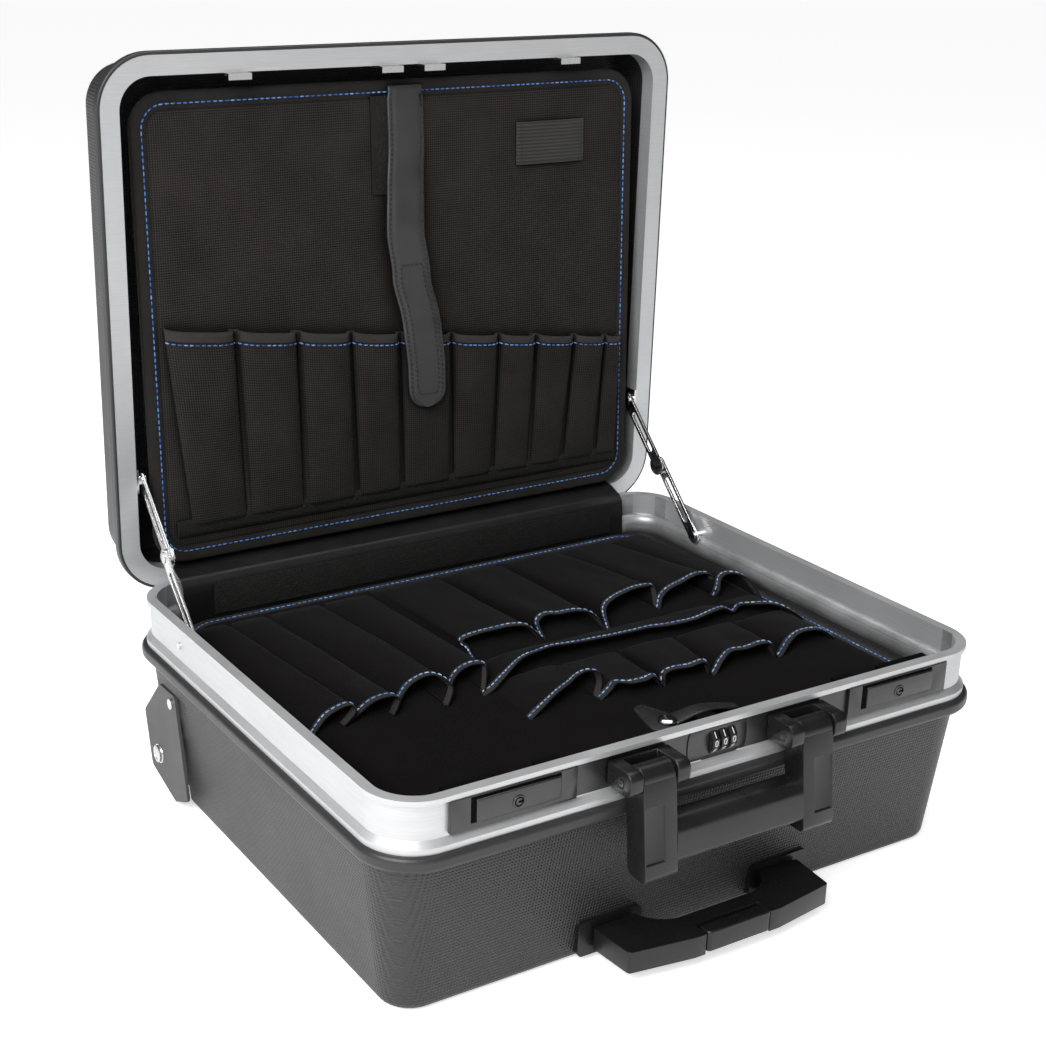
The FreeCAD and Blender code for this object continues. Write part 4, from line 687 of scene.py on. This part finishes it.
class TOOLCASE_OT_frame(bpy.types.Operator):
    """Give the shells, the frames and the small metal parts their finishes"""

    bl_idname = "toolcase.frame"
    bl_label = "Shells and frames"

    def execute(self, context):
        # At each side a thin metal skirt under the frame covers the shell's upstand.
        for side, sign in SIDES:
            bm = bmesh.new()
            loops = []
            for inset, z in ((232.3, 137), (229.6, 134), (228.3, 131), (228.2, 121.6)):
                depth, corner = inset - 46, inset - 204.6
                points = [(abs(x), y) for x, y in rounded_line(-inset, inset, -depth, depth, corner, closed=False)
                          if x > 0]
                points = [(197, -depth)] + points + [(205.5, depth)]
                loops.append([bm.verts.new((sign * x, y, z)) for x, y in points])
            for lower, upper in zip(loops, loops[1:]):
                rails = [bm.edges.get(pair) or bm.edges.new(pair)
                         for loop in (lower, upper) for pair in zip(loop, loop[1:])]
                bmesh.ops.bridge_loops(bm, edges=rails)
            face_outwards(bm)
            skirt = finished("frame_skirt_" + side, "base", bm, ["satin_aluminium"], slot="frame_aluminium")
            thicken(skirt, 0.3, 0)
        dress("tray_plastic", "base_shell")
        dress("lid_plastic", "lid_shell")
        dress("satin_aluminium", "base_frame", "lid_frame", "trolley_tubes", "trolley_middle_tubes",
              "trolley_rods")
        dress("moulded_black", "lid_board_posts", "tube_clamps", "trolley_bezels")
        dress("matte_black", "lock_cases", "dial_case")
        dress("painted_steel", "wheel_bracket_left", "wheel_bracket_right")
        dress("polished_steel", "axles", "rivets", "hinge_base_leaves", "hinge_pins", "hinge_lid_leaves",
              "stay_pivots", "stay_brackets", "lid_strikes", "dial_axle")
        dress("satin_black", "handle_pins")
        return {"FINISHED"}


class TOOLCASE_OT_lid_board(bpy.types.Operator):
    """Add the padded board in the lid with its sewn edge"""

    bl_idname = "toolcase.lid_board"
    bl_label = "Lid board"

    def execute(self, context):
        binding, corner = size("binding_width"), 26
        inset = binding - 3
        board = bound_board("lid_board", "lid", "lid_board_weave", LID_BOARD, corner, 6, binding, inset,
                            corner - inset, LID_BOARD_PLACE)
        return {"FINISHED"}


def lid_pocket_height(x):
    """Height of the pocket mouths on the lid's board."""
    return 181 - 52 * (x + 208) / 416


def lid_pocket_surface(u, v):
    """The pleated cloth of the lid's pockets in the board's flat frame."""
    count = len(LID_MOUTH_SEAMS) - 1
    index = min(int(u * count), count - 1)
    share = u * count - index
    left, right = (mix(LID_FOOT_SEAMS[seam], LID_MOUTH_SEAMS[seam], v) for seam in (index, index + 1))
    width = right - left
    crest, side = sin(pi * share), -cos(pi * share)
    # The cloth turns under at both seams, and bellies more towards its mouth.
    tuck = 3.4 * (1 - crest ** 0.75) ** 2
    x = (left + right) / 2 + copysign(abs(side) ** 0.6, side) * (width / 2 - tuck)
    x += 1.2 * (1 - v) * sin(2 * pi * share)
    rise = (2.2 + min(6.6, width * 0.17) * v ** 0.7) * crest ** 0.75
    # A wide drape that differs from pocket to pocket, and a fine crumple over all.
    rise += crest * 0.9 * noise.noise(Vector((x * 0.03, v * 2.2, index * 3.7)))
    rise += crest * 0.5 * noise.noise(Vector((x * 0.11, v * 3.1, 8.0)))
    mouth = lid_pocket_height(x) - 1.6 * crest ** 2
    return Vector((x, mix(LID_POCKET_FOOT, mouth, v), 1.9 + max(0.0, rise)))


class TOOLCASE_OT_lid_pockets(bpy.types.Operator):
    """Add the row of ten pleated pockets on the lid's board"""

    bl_idname = "toolcase.lid_pockets"
    bl_label = "Lid pockets"

    def execute(self, context):
        bm = bmesh.new()
        cloth(bm, lid_pocket_surface, 180, 40, 135)
        hem = 1 - 8.5 / 130
        for face in bm.faces:
            centre = face.calc_center_median()
            if centre.y > mix(LID_POCKET_FOOT, lid_pocket_height(centre.x), hem):
                face.material_index = 1
        pockets = finished("lid_pocket_cloth", "lid", bm, ["lid_pocket_weave", "binding_tape"],
                           LID_BOARD_PLACE, "lid_pockets", sharp=80)
        thicken(pockets, size("cloth_thickness"))
        lines = [along_surface(lid_pocket_surface, 1, [(step / 900, hem) for step in range(start + 6, start + 85)])
                 for start in range(0, 900, 90)]
        sewn("lid_pocket_stitches", "lid", "blue_thread", lines, LID_BOARD_PLACE, 0.3)

        def tape(u, v):
            x = -200 + 404 * u
            ragged = noise.noise(Vector((x * 0.35, v * 4, 1.0)))
            return Vector((x, 20 + 13.5 * v + ragged * 0.9, 2.5 + 0.8 * sin(pi * v) + 0.5 * ragged))

        strip = laid("lid_pocket_foot_tape", "lid", "hook_tape", tape, (200, 4), 13.5, 0.8,
                     LID_BOARD_PLACE, slot="strap_webbing")
        return {"FINISHED"}


# The strap's middle line on the lid's board: height, place across and stand off the board.
STRAP_ACROSS = [(95, 13), (125, 12), (160, 8.5), (200, 2), (235, -3), (265, -1), (300, 2.5), (342, 2.5)]
STRAP_STAND = [(95, 13), (125, 13.4), (152, 14.2), (170, 12), (200, 9), (235, 10), (265, 7.5), (300, 4),
               (342, 2.8)]
STRAP_HALF_WIDTH = 16.2


def strap_surface(u, v):
    """The strap on the lid's board, from its sewn upper end to its round tip."""
    low, high = STRAP_STAND[0][0], STRAP_STAND[-1][0]
    y = mix(low, high, (1 - v) ** 1.35)
    half = STRAP_HALF_WIDTH
    to_tip = y - low
    if to_tip < half:
        half = max(1.5, half * (1 - ((half - to_tip) / half) ** 2.4) ** (1 / 2.4))
    if v < 0.02:
        half -= 1.0
    across = (u - 0.5) * 2
    x = between(STRAP_ACROSS, y) + across * half
    crown = 0.7 * (1 - across ** 4) + 0.6 * smooth_step(1 - abs(across), 0.28, 0.36)
    twist = 1.2 * across * sin((y - 100) / 46)
    return Vector((x, y, between(STRAP_STAND, y) + crown + twist))


class TOOLCASE_OT_lid_strap(bpy.types.Operator):
    """Add the leather strap, its hook tape patch and the elastic loop"""

    bl_idname = "toolcase.lid_strap"
    bl_label = "Strap and loop"

    def execute(self, context):
        laid("lid_strap_leather", "lid", "strap_leather", strap_surface, (22, 110), 258, 2.2,
             LID_BOARD_PLACE, True, replaced="lid_strap", sharp=60)
        lines = [along_surface(strap_surface, -1, [(across, step / 300) for step in range(4, 286)])
                 for across in (0.075, 0.925)]
        inner = [(0.2, 0.86), (0.2, 0.455), (0.24, 0.44), (0.76, 0.44), (0.8, 0.455), (0.8, 0.86),
                 (0.74, 0.9), (0.26, 0.9), (0.2, 0.86)]
        places = [(mix(u0, u1, step / 60), mix(v0, v1, step / 60))
                  for (u0, v0), (u1, v1) in zip(inner, inner[1:]) for step in range(60)]
        lines.append(along_surface(strap_surface, -1, places))
        sewn("lid_strap_stitches", "lid", "black_thread", lines, LID_BOARD_PLACE, 0.5, (2.5, 3.7, 1.2))
        bm = block((-27, 262, 0.9), (17, 335, 2.6))
        soften(bm, 0.6)
        finished("lid_hook_patch", "lid", bm, ["hook_tape"], LID_BOARD_PLACE, slot="strap_webbing")

        def elastic(u, v):
            bow = 1.6 * sin(pi * u) ** 0.5 if 0 < u < 1 else 0
            return Vector((103 + 64 * u, 276 + 33 * v, 2.4 + bow + 0.3 * sin(4 * pi * u)))

        laid("tool_loop_elastic", "lid", "ribbed_elastic", elastic, (32, 12), 33, 1.2, LID_BOARD_PLACE,
             replaced="tool_loops")
        lines = [on_face([(x, 277 + step) for step in range(32)], 3.6) for x in (106.5, 163.5)]
        sewn("tool_loop_stitches", "lid", "black_thread", lines, LID_BOARD_PLACE, 0.2, (2.3, 3.1, 0.8))
        return {"FINISHED"}


class TOOLCASE_OT_base_board(bpy.types.Operator):
    """Add the padded board in the tray with its sewn edge"""

    bl_idname = "toolcase.base_board"
    bl_label = "Tray board"

    def execute(self, context):
        board = bound_board("base_board", "base", "tray_board_weave", BASE_BOARD, 30, 5.7, 9, 6.5, 24,
                            BASE_BOARD_PLACE)
        return {"FINISHED"}


def through(points, at):
    """A smooth line through points, from 0 to 1."""
    place = min(max(at, 0.0), 1.0) * (len(points) - 1)
    index = min(int(place), len(points) - 2)
    share = place - index
    before, first, second, after = (points[min(max(index + step, 0), len(points) - 1)]
                                    for step in (-1, 0, 1, 2))
    return [0.5 * (2 * b + (c - a) * share + (2 * a - 5 * b + 4 * c - d) * share ** 2
                   + (3 * b - a - 3 * c + d) * share ** 3)
            for a, b, c, d in zip(before, first, second, after)]


def row_surface(seam, mouths):
    """Cloth of one row of pockets lying in the tray, from its seam to its arched mouths."""
    def surface(u, v):
        x, y, height, start = through(mouths, u)
        share = smooth_step(v, 0, 0.08) * (0.3 + 0.7 * v ** 0.8)
        drape = 1 + 0.16 * noise.noise(Vector((x * 0.045, v * 2.6, seam * 0.1)))
        sway = 1.6 * noise.noise(Vector((x * 0.02, v * 1.7, 9.0))) * v * (1 - v)
        return Vector((mix(start, x, v) + sway, mix(seam, y, v), 1.0 + max(0.0, (height - 1) * share * drape)))

    return surface


def run_length(surface, v=1.0, steps=400):
    """Length of the cloth across a row, measured along its folds."""
    points = [surface(step / steps, v) for step in range(steps + 1)]
    return sum((b - a).length for a, b in zip(points, points[1:]))


class TOOLCASE_OT_base_pockets(bpy.types.Operator):
    """Add the four rows of arched pockets in the tray"""

    bl_idname = "toolcase.base_pockets"
    bl_label = "Tray pockets"

    def execute(self, context):
        tape = size("pocket_binding")
        for side, (seam, mouths) in BASE_ROWS.items():
            surface = row_surface(seam, mouths)
            columns = 7 * (len(mouths) - 1)
            width = run_length(surface)
            cut = sum(run_length(surface, share) for share in (0.1, 0.4, 0.7, 1.0)) / 4
            depth = seam - sum(point[1] for point in mouths) / len(mouths)
            row = laid("base_pocket_cloth_" + side, "base", "tray_pocket_weave", surface, (columns, 26),
                       depth, size("cloth_thickness"), BASE_BOARD_PLACE, True,
                       replaced="base_pockets_" + side, sharp=80)

            def edge(u, v, surface=surface, depth=depth):
                reach = abs(2 * v - 1)
                along = 1 - reach * tape / depth
                side_of = smooth_step(v, 0.42, 0.58)
                return surface(u, along) + facing(surface, u, along, -1) * (0.75 - 2.1 * side_of)

            hem = laid("base_pocket_binding_" + side, "base", "dark_binding", edge, (columns, 12),
                       2 * tape, 0.6, BASE_BOARD_PLACE, True, slot="strap_webbing", sharp=80)
            count = 40 * (len(mouths) - 1)
            line = along_surface(surface, -1, [(step / count, 1 - 0.6 * tape / depth) for step in range(1, count)])
            sewn("base_pocket_stitches_" + side, "base", "pale_thread", [line], BASE_BOARD_PLACE, 0.85)
        return {"FINISHED"}


class TOOLCASE_OT_snap_tab(bpy.types.Operator):
    """Add the leather tab with its press stud in the tray"""

    bl_idname = "toolcase.snap_tab"
    bl_label = "Press-stud tab"

    def execute(self, context):
        place = Matrix.Translation((5.5, -139, 126.2))
        outline = [(-8, 31), (0.5, 34.5), (8.5, 16), (10.5, 2), (3, -6.5), (-8, -7), (-15.5, -1), (-14, 10)]
        bm = flat_plate(outline, 1.9)
        soften(bm, 2.6, 4, runs_along(UP))
        soften(bm, 0.5)
        finished("snap_tab_leather", "base", bm, ["tab_leather"], place, "snap_tab")
        edge = [(-2 + (x + 2) * 0.84, 9 + (y - 9) * 0.88) for x, y in outline]
        sewn("snap_tab_stitches", "base", "black_thread", [on_face(edge + edge[:1], 0.1)], place, 0.1,
             (2.2, 3.0, 0.6))

        def strap(u, v):
            lift = 1.4 + 3.6 * sin(pi * min(1.0, v * 1.04)) ** 1.4
            return Vector((3 + 52 * v, 3 - 3 * v + (u - 0.5) * (14 - 5 * v), lift + 0.6 * sin(pi * u)))

        laid("snap_strap", "base", "tab_leather", strap, (8, 28), 56, 1.3, place, True, slot="tab_hide",
             sharp=60)
        bm = turned([(0, 0), (0, 6.5), (0.7, 6.9), (1.5, 6.6), (2.2, 5.4), (2.8, 3.4), (3.0, 1.6), (3.05, 0)],
                    UP, (0.6, 3.5, 0.4), 40)
        finished("snap_stud_cap", "base", bm, ["chromed"], place, "snap_stud")
        return {"FINISHED"}


# The flap over the hinges, from the tray's seat up and under the lid's board, as (y, z) points.
COVER_LINE = [(181.3, 118.8), (181.5, 126), (181.7, 136), (182.2, 144), (183.4, 150.5), (187, 155),
              (193, 157.4), (200, 160.2), (207, 160.9), (213, 161)]


class TOOLCASE_OT_hinge_cover(bpy.types.Operator):
    """Add the flap over the hinges with its hook tape"""

    bl_idname = "toolcase.hinge_cover"
    bl_label = "Hinge cover"

    def execute(self, context):
        def flap(u, v):
            at = v * (len(COVER_LINE) - 1)
            index = min(int(at), len(COVER_LINE) - 2)
            y, z = (mix(low, high, at - index) for low, high in zip(COVER_LINE[index], COVER_LINE[index + 1]))
            x = -204 + 408 * u
            sag = 0.5 * noise.noise(Vector((x * 0.012, v * 3, 5.0)))
            return Vector((x, y + sag * sin(pi * v), z))

        bm = bmesh.new()
        cloth(bm, flap, 80, 27, 62)
        bmesh.ops.solidify(bm, geom=bm.faces[:], thickness=1.1)
        face_outwards(bm)
        cover = finished("hinge_cover_flap", None, bm, ["cover_leather"], None, "hinge_cover", sharp=60)
        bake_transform(cover)
        bm = block((-180, 179.9, 125), (190, 181.0, 150))
        soften(bm, 0.4)
        finished("hinge_cover_hook_strip", "base", bm, ["hook_tape"], slot="strap_webbing")
        return {"FINISHED"}


class TOOLCASE_OT_locks(bpy.types.Operator):
    """Add the key locks: plates, flip-out tabs and key barrels"""

    bl_idname = "toolcase.locks"
    bl_label = "Locks"

    def execute(self, context):
        width = size("edge_round")
        for side, sign in SIDES:
            plate, tab = sign * 155.09, sign * 154.0 - 31.5
            bm = flat_plate(rectangle(plate - 44.9, plate + 44.9, *PLATE_HEIGHTS), 3.3,
                            [rectangle(tab - 0.4, tab + 63.4, 132.6, 149.4)])
            soften(bm, 0.5)
            finished("lock_plate_pressed_" + side, "base", bm, ["satin_black"],
                     Matrix.Translation((0, LOCK_FACE, 0)) @ UPRIGHT, "lock_plate_" + side)
            # A near-black matte backing behind the raised tab, seen in the gap round it: painted shade for that
            # gap.
            bm = block((tab - 0.2, -195.4, 132.9), (tab + 63, -194.2, 149))
            soften(bm, 0.3)
            paint(bm, 1)
            raised = block((tab + 2.4, -196.9, 133.3), (tab + 62.4, -195.0, 148.1))
            soften(raised, width, 3)
            join(bm, raised)
            finished("lock_tab_pressed_" + side, "lock_tab_" + side, bm, ["satin_black", "matte_black"], None,
                     "lock_tab_" + side)
            centre = (sign * 154.008, LOCK_FACE, DIAL_CENTRE.z)
            bm = turned([(0, 0), (0, 4.4), (2.3, 4.4), (2.7, 4.0), (2.7, 3.3), (2.2, 3.1), (2.2, 2.4),
                         (2.6, 2.2), (2.6, 0)], -BACK, centre, 40)
            # The keyway bar and the ring in the barrel's groove are near-black matte: painted shade for the slot
            # and the groove.
            slot = block((centre[0] - 0.3, -197.75, 138.9), (centre[0] + 3.2, -197.45, 140.1))
            turned([(2.25, 3.05), (2.35, 3.0), (2.35, 2.5), (2.25, 2.45)], -BACK, centre, 40, slot)
            paint(slot, 1)
            join(bm, slot)
            finished("key_barrel_turned_" + side, "key_barrel_" + side, bm, ["satin_black", "matte_black"],
                     None, "key_barrel_" + side)
        return {"FINISHED"}


class TOOLCASE_OT_dials(bpy.types.Operator):
    """Add the combination plate and its three number dials"""

    bl_idname = "toolcase.dials"
    bl_label = "Combination dials"

    def execute(self, context):
        upright = Matrix.Translation((0, -192.4, 0)) @ UPRIGHT
        windows = [rectangle(x - 3.2, x + 3.2, 133.2, 145.8) for x in DIAL_MIDDLES]
        bm = flat_plate(rectangle(-109.8, 109.8, *PLATE_HEIGHTS), 0.8, windows)
        finished("combination_plate_back", "base", bm, ["satin_black"], upright, "combination_plate")
        turns = [pi * step / 12 - pi / 2 for step in range(13)]
        bowed = [(end + sign * 2.4 * cos(turn), DIAL_CENTRE.z + sign * 10.2 * sin(turn))
                 for end, sign in ((21.5, 1), (-22, -1)) for turn in turns]
        bm = flat_plate(bowed, 0.75, windows)
        soften(bm, 0.25)
        finished("combination_plate_face", "base", bm, ["satin_black"],
                 Matrix.Translation((0, -0.75, 0)) @ upright, slot="black_plastic")
        for index, x in enumerate(DIAL_MIDDLES):
            name = "dial_%d" % (index + 1)
            centre = Matrix.Translation(DIAL_CENTRE + ACROSS * x)
            flat_forward = Matrix.Rotation(radians(90), 4, "Y") @ Matrix.Rotation(radians(18), 4, "Z")
            bm = bmesh.new()
            bmesh.ops.create_cone(bm, segments=10, radius1=9.4, radius2=9.4, depth=5.4, cap_ends=True,
                                  matrix=centre @ flat_forward)
            soften(bm, 0.45)
            finished(name + "_wheel", name, bm, ["dial_gloss"], None, name)
            bm = bmesh.new()
            for number in range(10):
                words = bpy.data.curves.new("number", "FONT")
                words.body = str(number)
                words.size = 6.4
                words.align_x, words.align_y = "CENTER", "CENTER"
                words.extrude = 0.06
                words.fill_mode = "FRONT"
                words.resolution_u = 4
                shown = bpy.data.objects.new("number", words)
                mesh = bpy.data.meshes.new_from_object(shown)
                mesh.transform(centre @ Matrix.Rotation(radians(-36 * number), 4, "X")
                               @ Matrix.Translation((0, -9.02, 0)) @ UPRIGHT @ Matrix.Diagonal((0.92, 1, 1, 1)))
                bm.from_mesh(mesh)
                bpy.data.meshes.remove(mesh)
                bpy.data.objects.remove(shown)
                bpy.data.curves.remove(words)
            finished(name + "_numbers", name, bm, ["number_paint"])
        return {"FINISHED"}


class TOOLCASE_OT_carry_handle(bpy.types.Operator):
    """Add the swinging carry handle and its two brackets"""

    bl_idname = "toolcase.carry_handle"
    bl_label = "Carry handle"

    def execute(self, context):
        bm = bmesh.new()
        for sign in (-1, 1):
            arm_side(bm, sign)
        grip_bar(bm)
        finished("carry_handle_moulded", "carry_handle", bm, ["moulded_black"], None, "carry_handle", sharp=40)
        for side in ("left", "right"):
            refined("handle_bracket_" + side, 1.1, "moulded_black", 3)
        return {"FINISHED"}


def arm_side(bm, sign):
    """One arm of the carry handle: barrel on the pivot, leaning arm and recessed front panel."""
    arm = bmesh.new()
    outline = [(-216.5, 138.5), (-224.5, 72.5), (-205.5, 72.5), (-198.5, 138.5)]
    side = arm.faces.new([arm.verts.new((HANDLE_PIVOT[0], y, z)) for y, z in outline])
    grow(arm, [side], (25.4, 0, 0))
    soften(arm, 5, 5, runs_along(ACROSS, lambda middle: middle.z < 80))
    for point, way in (((60, 0, 0), ACROSS), ((0, 0, 84), UP), ((0, 0, 123), UP)):
        bmesh.ops.bisect_plane(arm, geom=arm.verts[:] + arm.edges[:] + arm.faces[:], plane_co=point, plane_no=way)
    arm.normal_update()
    panel = [face for face in arm.faces if face.normal.y < -0.9 and face.calc_center_median().x > 60
             and 84 < face.calc_center_median().z < 123]
    bmesh.ops.inset_region(arm, faces=panel, thickness=1.3, depth=0)
    bmesh.ops.inset_region(arm, faces=panel, thickness=0.5, depth=-1.2)
    soften(arm, 0.9, 3)
    turned([(0, 0), (0, 8.0), (1.0, 9.0), (24.4, 9.0), (25.4, 8.0), (25.4, 0)], ACROSS, HANDLE_PIVOT, 40, arm)
    if sign < 0:
        bmesh.ops.scale(arm, vec=(-1, 1, 1), verts=arm.verts)
        bmesh.ops.reverse_faces(arm, faces=arm.faces)
    join(bm, arm)


def grip_bar(bm):
    """The rounded bar between the arms, rounded more along its top than along its foot."""
    bar = block((-51.5, -223.4, 80.5), (51.5, -203, 108.5))
    for vert in bar.verts:
        vert.co.y += (vert.co.z - 80.5) * 0.1
    soften(bar, 9.5, 8, runs_along(ACROSS, lambda middle: middle.z > 100 and middle.y < -210))
    soften(bar, 7.0, 6, runs_along(ACROSS, lambda middle: middle.z > 100 and middle.y > -210))
    soften(bar, 4.5, 5, runs_along(ACROSS, lambda middle: middle.z < 90))
    join(bm, bar)


def join(bm, other):
    """Adds one shape to another."""
    mesh = bpy.data.meshes.new("shape")
    other.to_mesh(mesh)
    other.free()
    bm.from_mesh(mesh)
    bpy.data.meshes.remove(mesh)


class TOOLCASE_OT_trolley(bpy.types.Operator):
    """Add the pull-out grip and its push button"""

    bl_idname = "toolcase.trolley"
    bl_label = "Trolley grip"

    def execute(self, context):
        right = [(44, -202.5), (52, -185), (85.6, -185), (82.6, -220), (35, -227), (26.4, -227), (26.4, -214.2)]
        outline = right + [(-x, y) for x, y in reversed(right)]
        bm = flat_plate(outline, 15.5)
        soften(bm, 15, 8, runs_along(UP, lambda middle: abs(middle.x) < 48 and middle.y > -204))
        soften(bm, 4, 4, runs_along(UP, lambda middle: abs(middle.x) > 50))
        soften(bm, 1.3, 3)
        finished("trolley_grip_moulded", "trolley_grip", bm, ["moulded_black"],
                 Matrix.Translation((0, 0, 24.05)), "trolley_grip", sharp=40)
        bm = block((-26, -228.5, 10.4), (26, -218.4, 25.4))
        soften(bm, 3.2, 5, runs_along(UP, lambda middle: middle.y < -220))
        soften(bm, 1.2, 3)
        finished("trolley_button_moulded", "trolley_button", bm, ["moulded_black"], None,
                 "trolley_button", sharp=40)
        return {"FINISHED"}


class TOOLCASE_OT_wheels(bpy.types.Operator):
    """Add the wheels with their tyres"""

    bl_idname = "toolcase.wheels"
    bl_label = "Wheels"

    def execute(self, context):
        for side, sign in SIDES:
            bm = turned([(0, 0), (0, 7.4), (0.5, 7.6), (0.9, 7.4), (0.9, 6.2), (1.0, 6.0), (2.4, 6.0), (2.9, 5.4),
                         (2.9, 4.2), (1.9, 3.8), (1.9, 0)], ACROSS * sign, AXLE + ACROSS * (sign * 236.4), 40)
            finished("axle_cap_" + side, "base", bm, ["polished_steel"], slot="bright_steel")
            centre = AXLE + ACROSS * (sign * 217.9)
            bm = turned([(-11, 4.2), (-11, 8), (-7, 9), (-6, 18), (-10, 19.5), (-11, 22), (11, 22), (10, 19.5),
                         (6, 18), (7, 9), (11, 8), (11, 4.2), (-11, 4.2)], ACROSS, centre, 48)
            finished("wheel_turned_" + side, "wheel_" + side, bm, ["moulded_black"], None, "wheel_" + side)
            bm = turned([(-11, 22), (-11, 25.5), (-9.5, 27.6), (-7, 28.5), (-3.4, 28.5), (-3, 27.7), (-2.2, 27.7),
                         (-1.8, 28.5), (1.8, 28.5), (2.2, 27.7), (3, 27.7), (3.4, 28.5), (7, 28.5), (9.5, 27.6),
                         (11, 25.5), (11, 22), (-11, 22)], ACROSS, centre, 64)
            finished("tyre_turned_" + side, "wheel_" + side, bm, ["tyre_rubber"], None, "tyre_" + side)
        return {"FINISHED"}


class TOOLCASE_OT_stays(bpy.types.Operator):
    """Add the folding lid stays"""

    bl_idname = "toolcase.stays"
    bl_label = "Lid stays"

    def execute(self, context):
        for name in ("stay_lower_left", "stay_upper_left", "stay_lower_right", "stay_upper_right"):
            refined(name, 0.35, "polished_steel")
        return {"FINISHED"}


class TOOLCASE_OT_stage(bpy.types.Operator):
    """Add the floor, the light and the camera"""

    bl_idname = "toolcase.stage"
    bl_label = "Floor, light and camera"

    def execute(self, context):
        scene = context.scene
        stage = scene.tool_case_stage
        bm = bmesh.new()
        bmesh.ops.create_grid(bm, x_segments=1, y_segments=1, size=40000)
        bmesh.ops.translate(bm, vec=(0, 0, -0.4), verts=bm.verts)
        floor = finished("floor", None, bm, ["floor_finish"])
        world = bpy.data.worlds.new("studio")
        world.use_nodes = True
        tree = world.node_tree
        tree.nodes.clear()
        rays = node(tree, "ShaderNodeLightPath")
        way = node(tree, "ShaderNodeVectorMath",
                   {0: node(tree, "ShaderNodeTexCoord").outputs["Generated"], 1: Vector((-0.74, -0.5, 0.45))},
                   operation="DOT_PRODUCT").outputs["Value"]
        sky = spread(tree, way, 0.06 * stage.fill, 1.9 * stage.fill, -0.1, 0.95)
        seen = rays.outputs["Is Camera Ray"]
        strength = maths(tree, "ADD", seen, maths(tree, "MULTIPLY", maths(tree, "SUBTRACT", 1.0, seen), sky))
        light = node(tree, "ShaderNodeBackground", {"Color": (1, 1, 1, 1), "Strength": strength})
        node(tree, "ShaderNodeOutputWorld", {0: light.outputs[0]})
        scene.world = world
        for name, power, size, place in (("key", stage.key, (1.3, 1.0), (-1.35, -0.75, 1.45)),
                                         ("top", stage.top, (1.5, 0.9), (0.25, 0.35, 1.9))):
            lamp = bpy.data.lights.new(name, "AREA")
            lamp.shape = "RECTANGLE"
            lamp.size, lamp.size_y = size
            lamp.energy = power
            light = bpy.data.objects.new(name, lamp)
            scene.collection.objects.link(light)
            light.location = place
            light.rotation_mode = "QUATERNION"
            light.rotation_quaternion = (Vector((0, 0, 0.2)) - light.location).to_track_quat("-Z", "Y")
        # The place, the turn and the lens that give the photo's view.
        camera = bpy.data.cameras.new("camera")
        camera.sensor_width, camera.lens = 36.0, 60.711
        camera.shift_x, camera.shift_y = 0.0888, 0.00333
        camera.clip_start, camera.clip_end = 0.05, 50.0
        seat = bpy.data.objects.new("camera", camera)
        scene.collection.objects.link(seat)
        seat.location = (-0.67771, -0.95943, 0.65051)
        seat.rotation_mode = "QUATERNION"
        seat.rotation_quaternion = Quaternion((0.7912758699, 0.5506035743, -0.1570719577, -0.2145847192))
        scene.camera = seat
        scene.view_settings.view_transform = "Standard"
        return {"FINISHED"}


PIECES = (TOOLCASE_OT_frame, TOOLCASE_OT_lid_board, TOOLCASE_OT_lid_pockets, TOOLCASE_OT_lid_strap,
          TOOLCASE_OT_base_board, TOOLCASE_OT_base_pockets, TOOLCASE_OT_snap_tab, TOOLCASE_OT_hinge_cover,
          TOOLCASE_OT_locks, TOOLCASE_OT_dials, TOOLCASE_OT_carry_handle, TOOLCASE_OT_trolley,
          TOOLCASE_OT_wheels, TOOLCASE_OT_stays, TOOLCASE_OT_stage)


class TOOLCASE_PT_panel(bpy.types.Panel):
    """Lists the pieces of the tool case"""

    bl_idname = "TOOLCASE_PT_panel"
    bl_label = "Tool case"
    bl_space_type = "VIEW_3D"
    bl_region_type = "UI"
    bl_category = "Tool case"

    def draw(self, context):
        for piece in PIECES:
            self.layout.operator(piece.bl_idname)
        for settings in ("tool_case_sizes", "tool_case_colours", "tool_case_stage"):
            group = getattr(context.scene, settings)
            box = self.layout.box()
            for key in group.bl_rna.properties.keys():
                if key not in ("rna_type", "name"):
                    box.prop(group, key)


CLASSES = (CaseSizes, CaseColours, CaseStage, *PIECES, TOOLCASE_PT_panel)


def register():
    for item in CLASSES:
        bpy.utils.register_class(item)
    bpy.types.Scene.tool_case_sizes = PointerProperty(type=CaseSizes)
    bpy.types.Scene.tool_case_colours = PointerProperty(type=CaseColours)
    bpy.types.Scene.tool_case_stage = PointerProperty(type=CaseStage)


def unregister():
    del bpy.types.Scene.tool_case_sizes
    del bpy.types.Scene.tool_case_colours
    del bpy.types.Scene.tool_case_stage
    for item in reversed(CLASSES):
        bpy.utils.unregister_class(item)


def main():
    register()
    for piece in PIECES:
        group, name = piece.bl_idname.split(".")
        getattr(getattr(bpy.ops, group), name)()


if __name__ == "__main__":
    main()
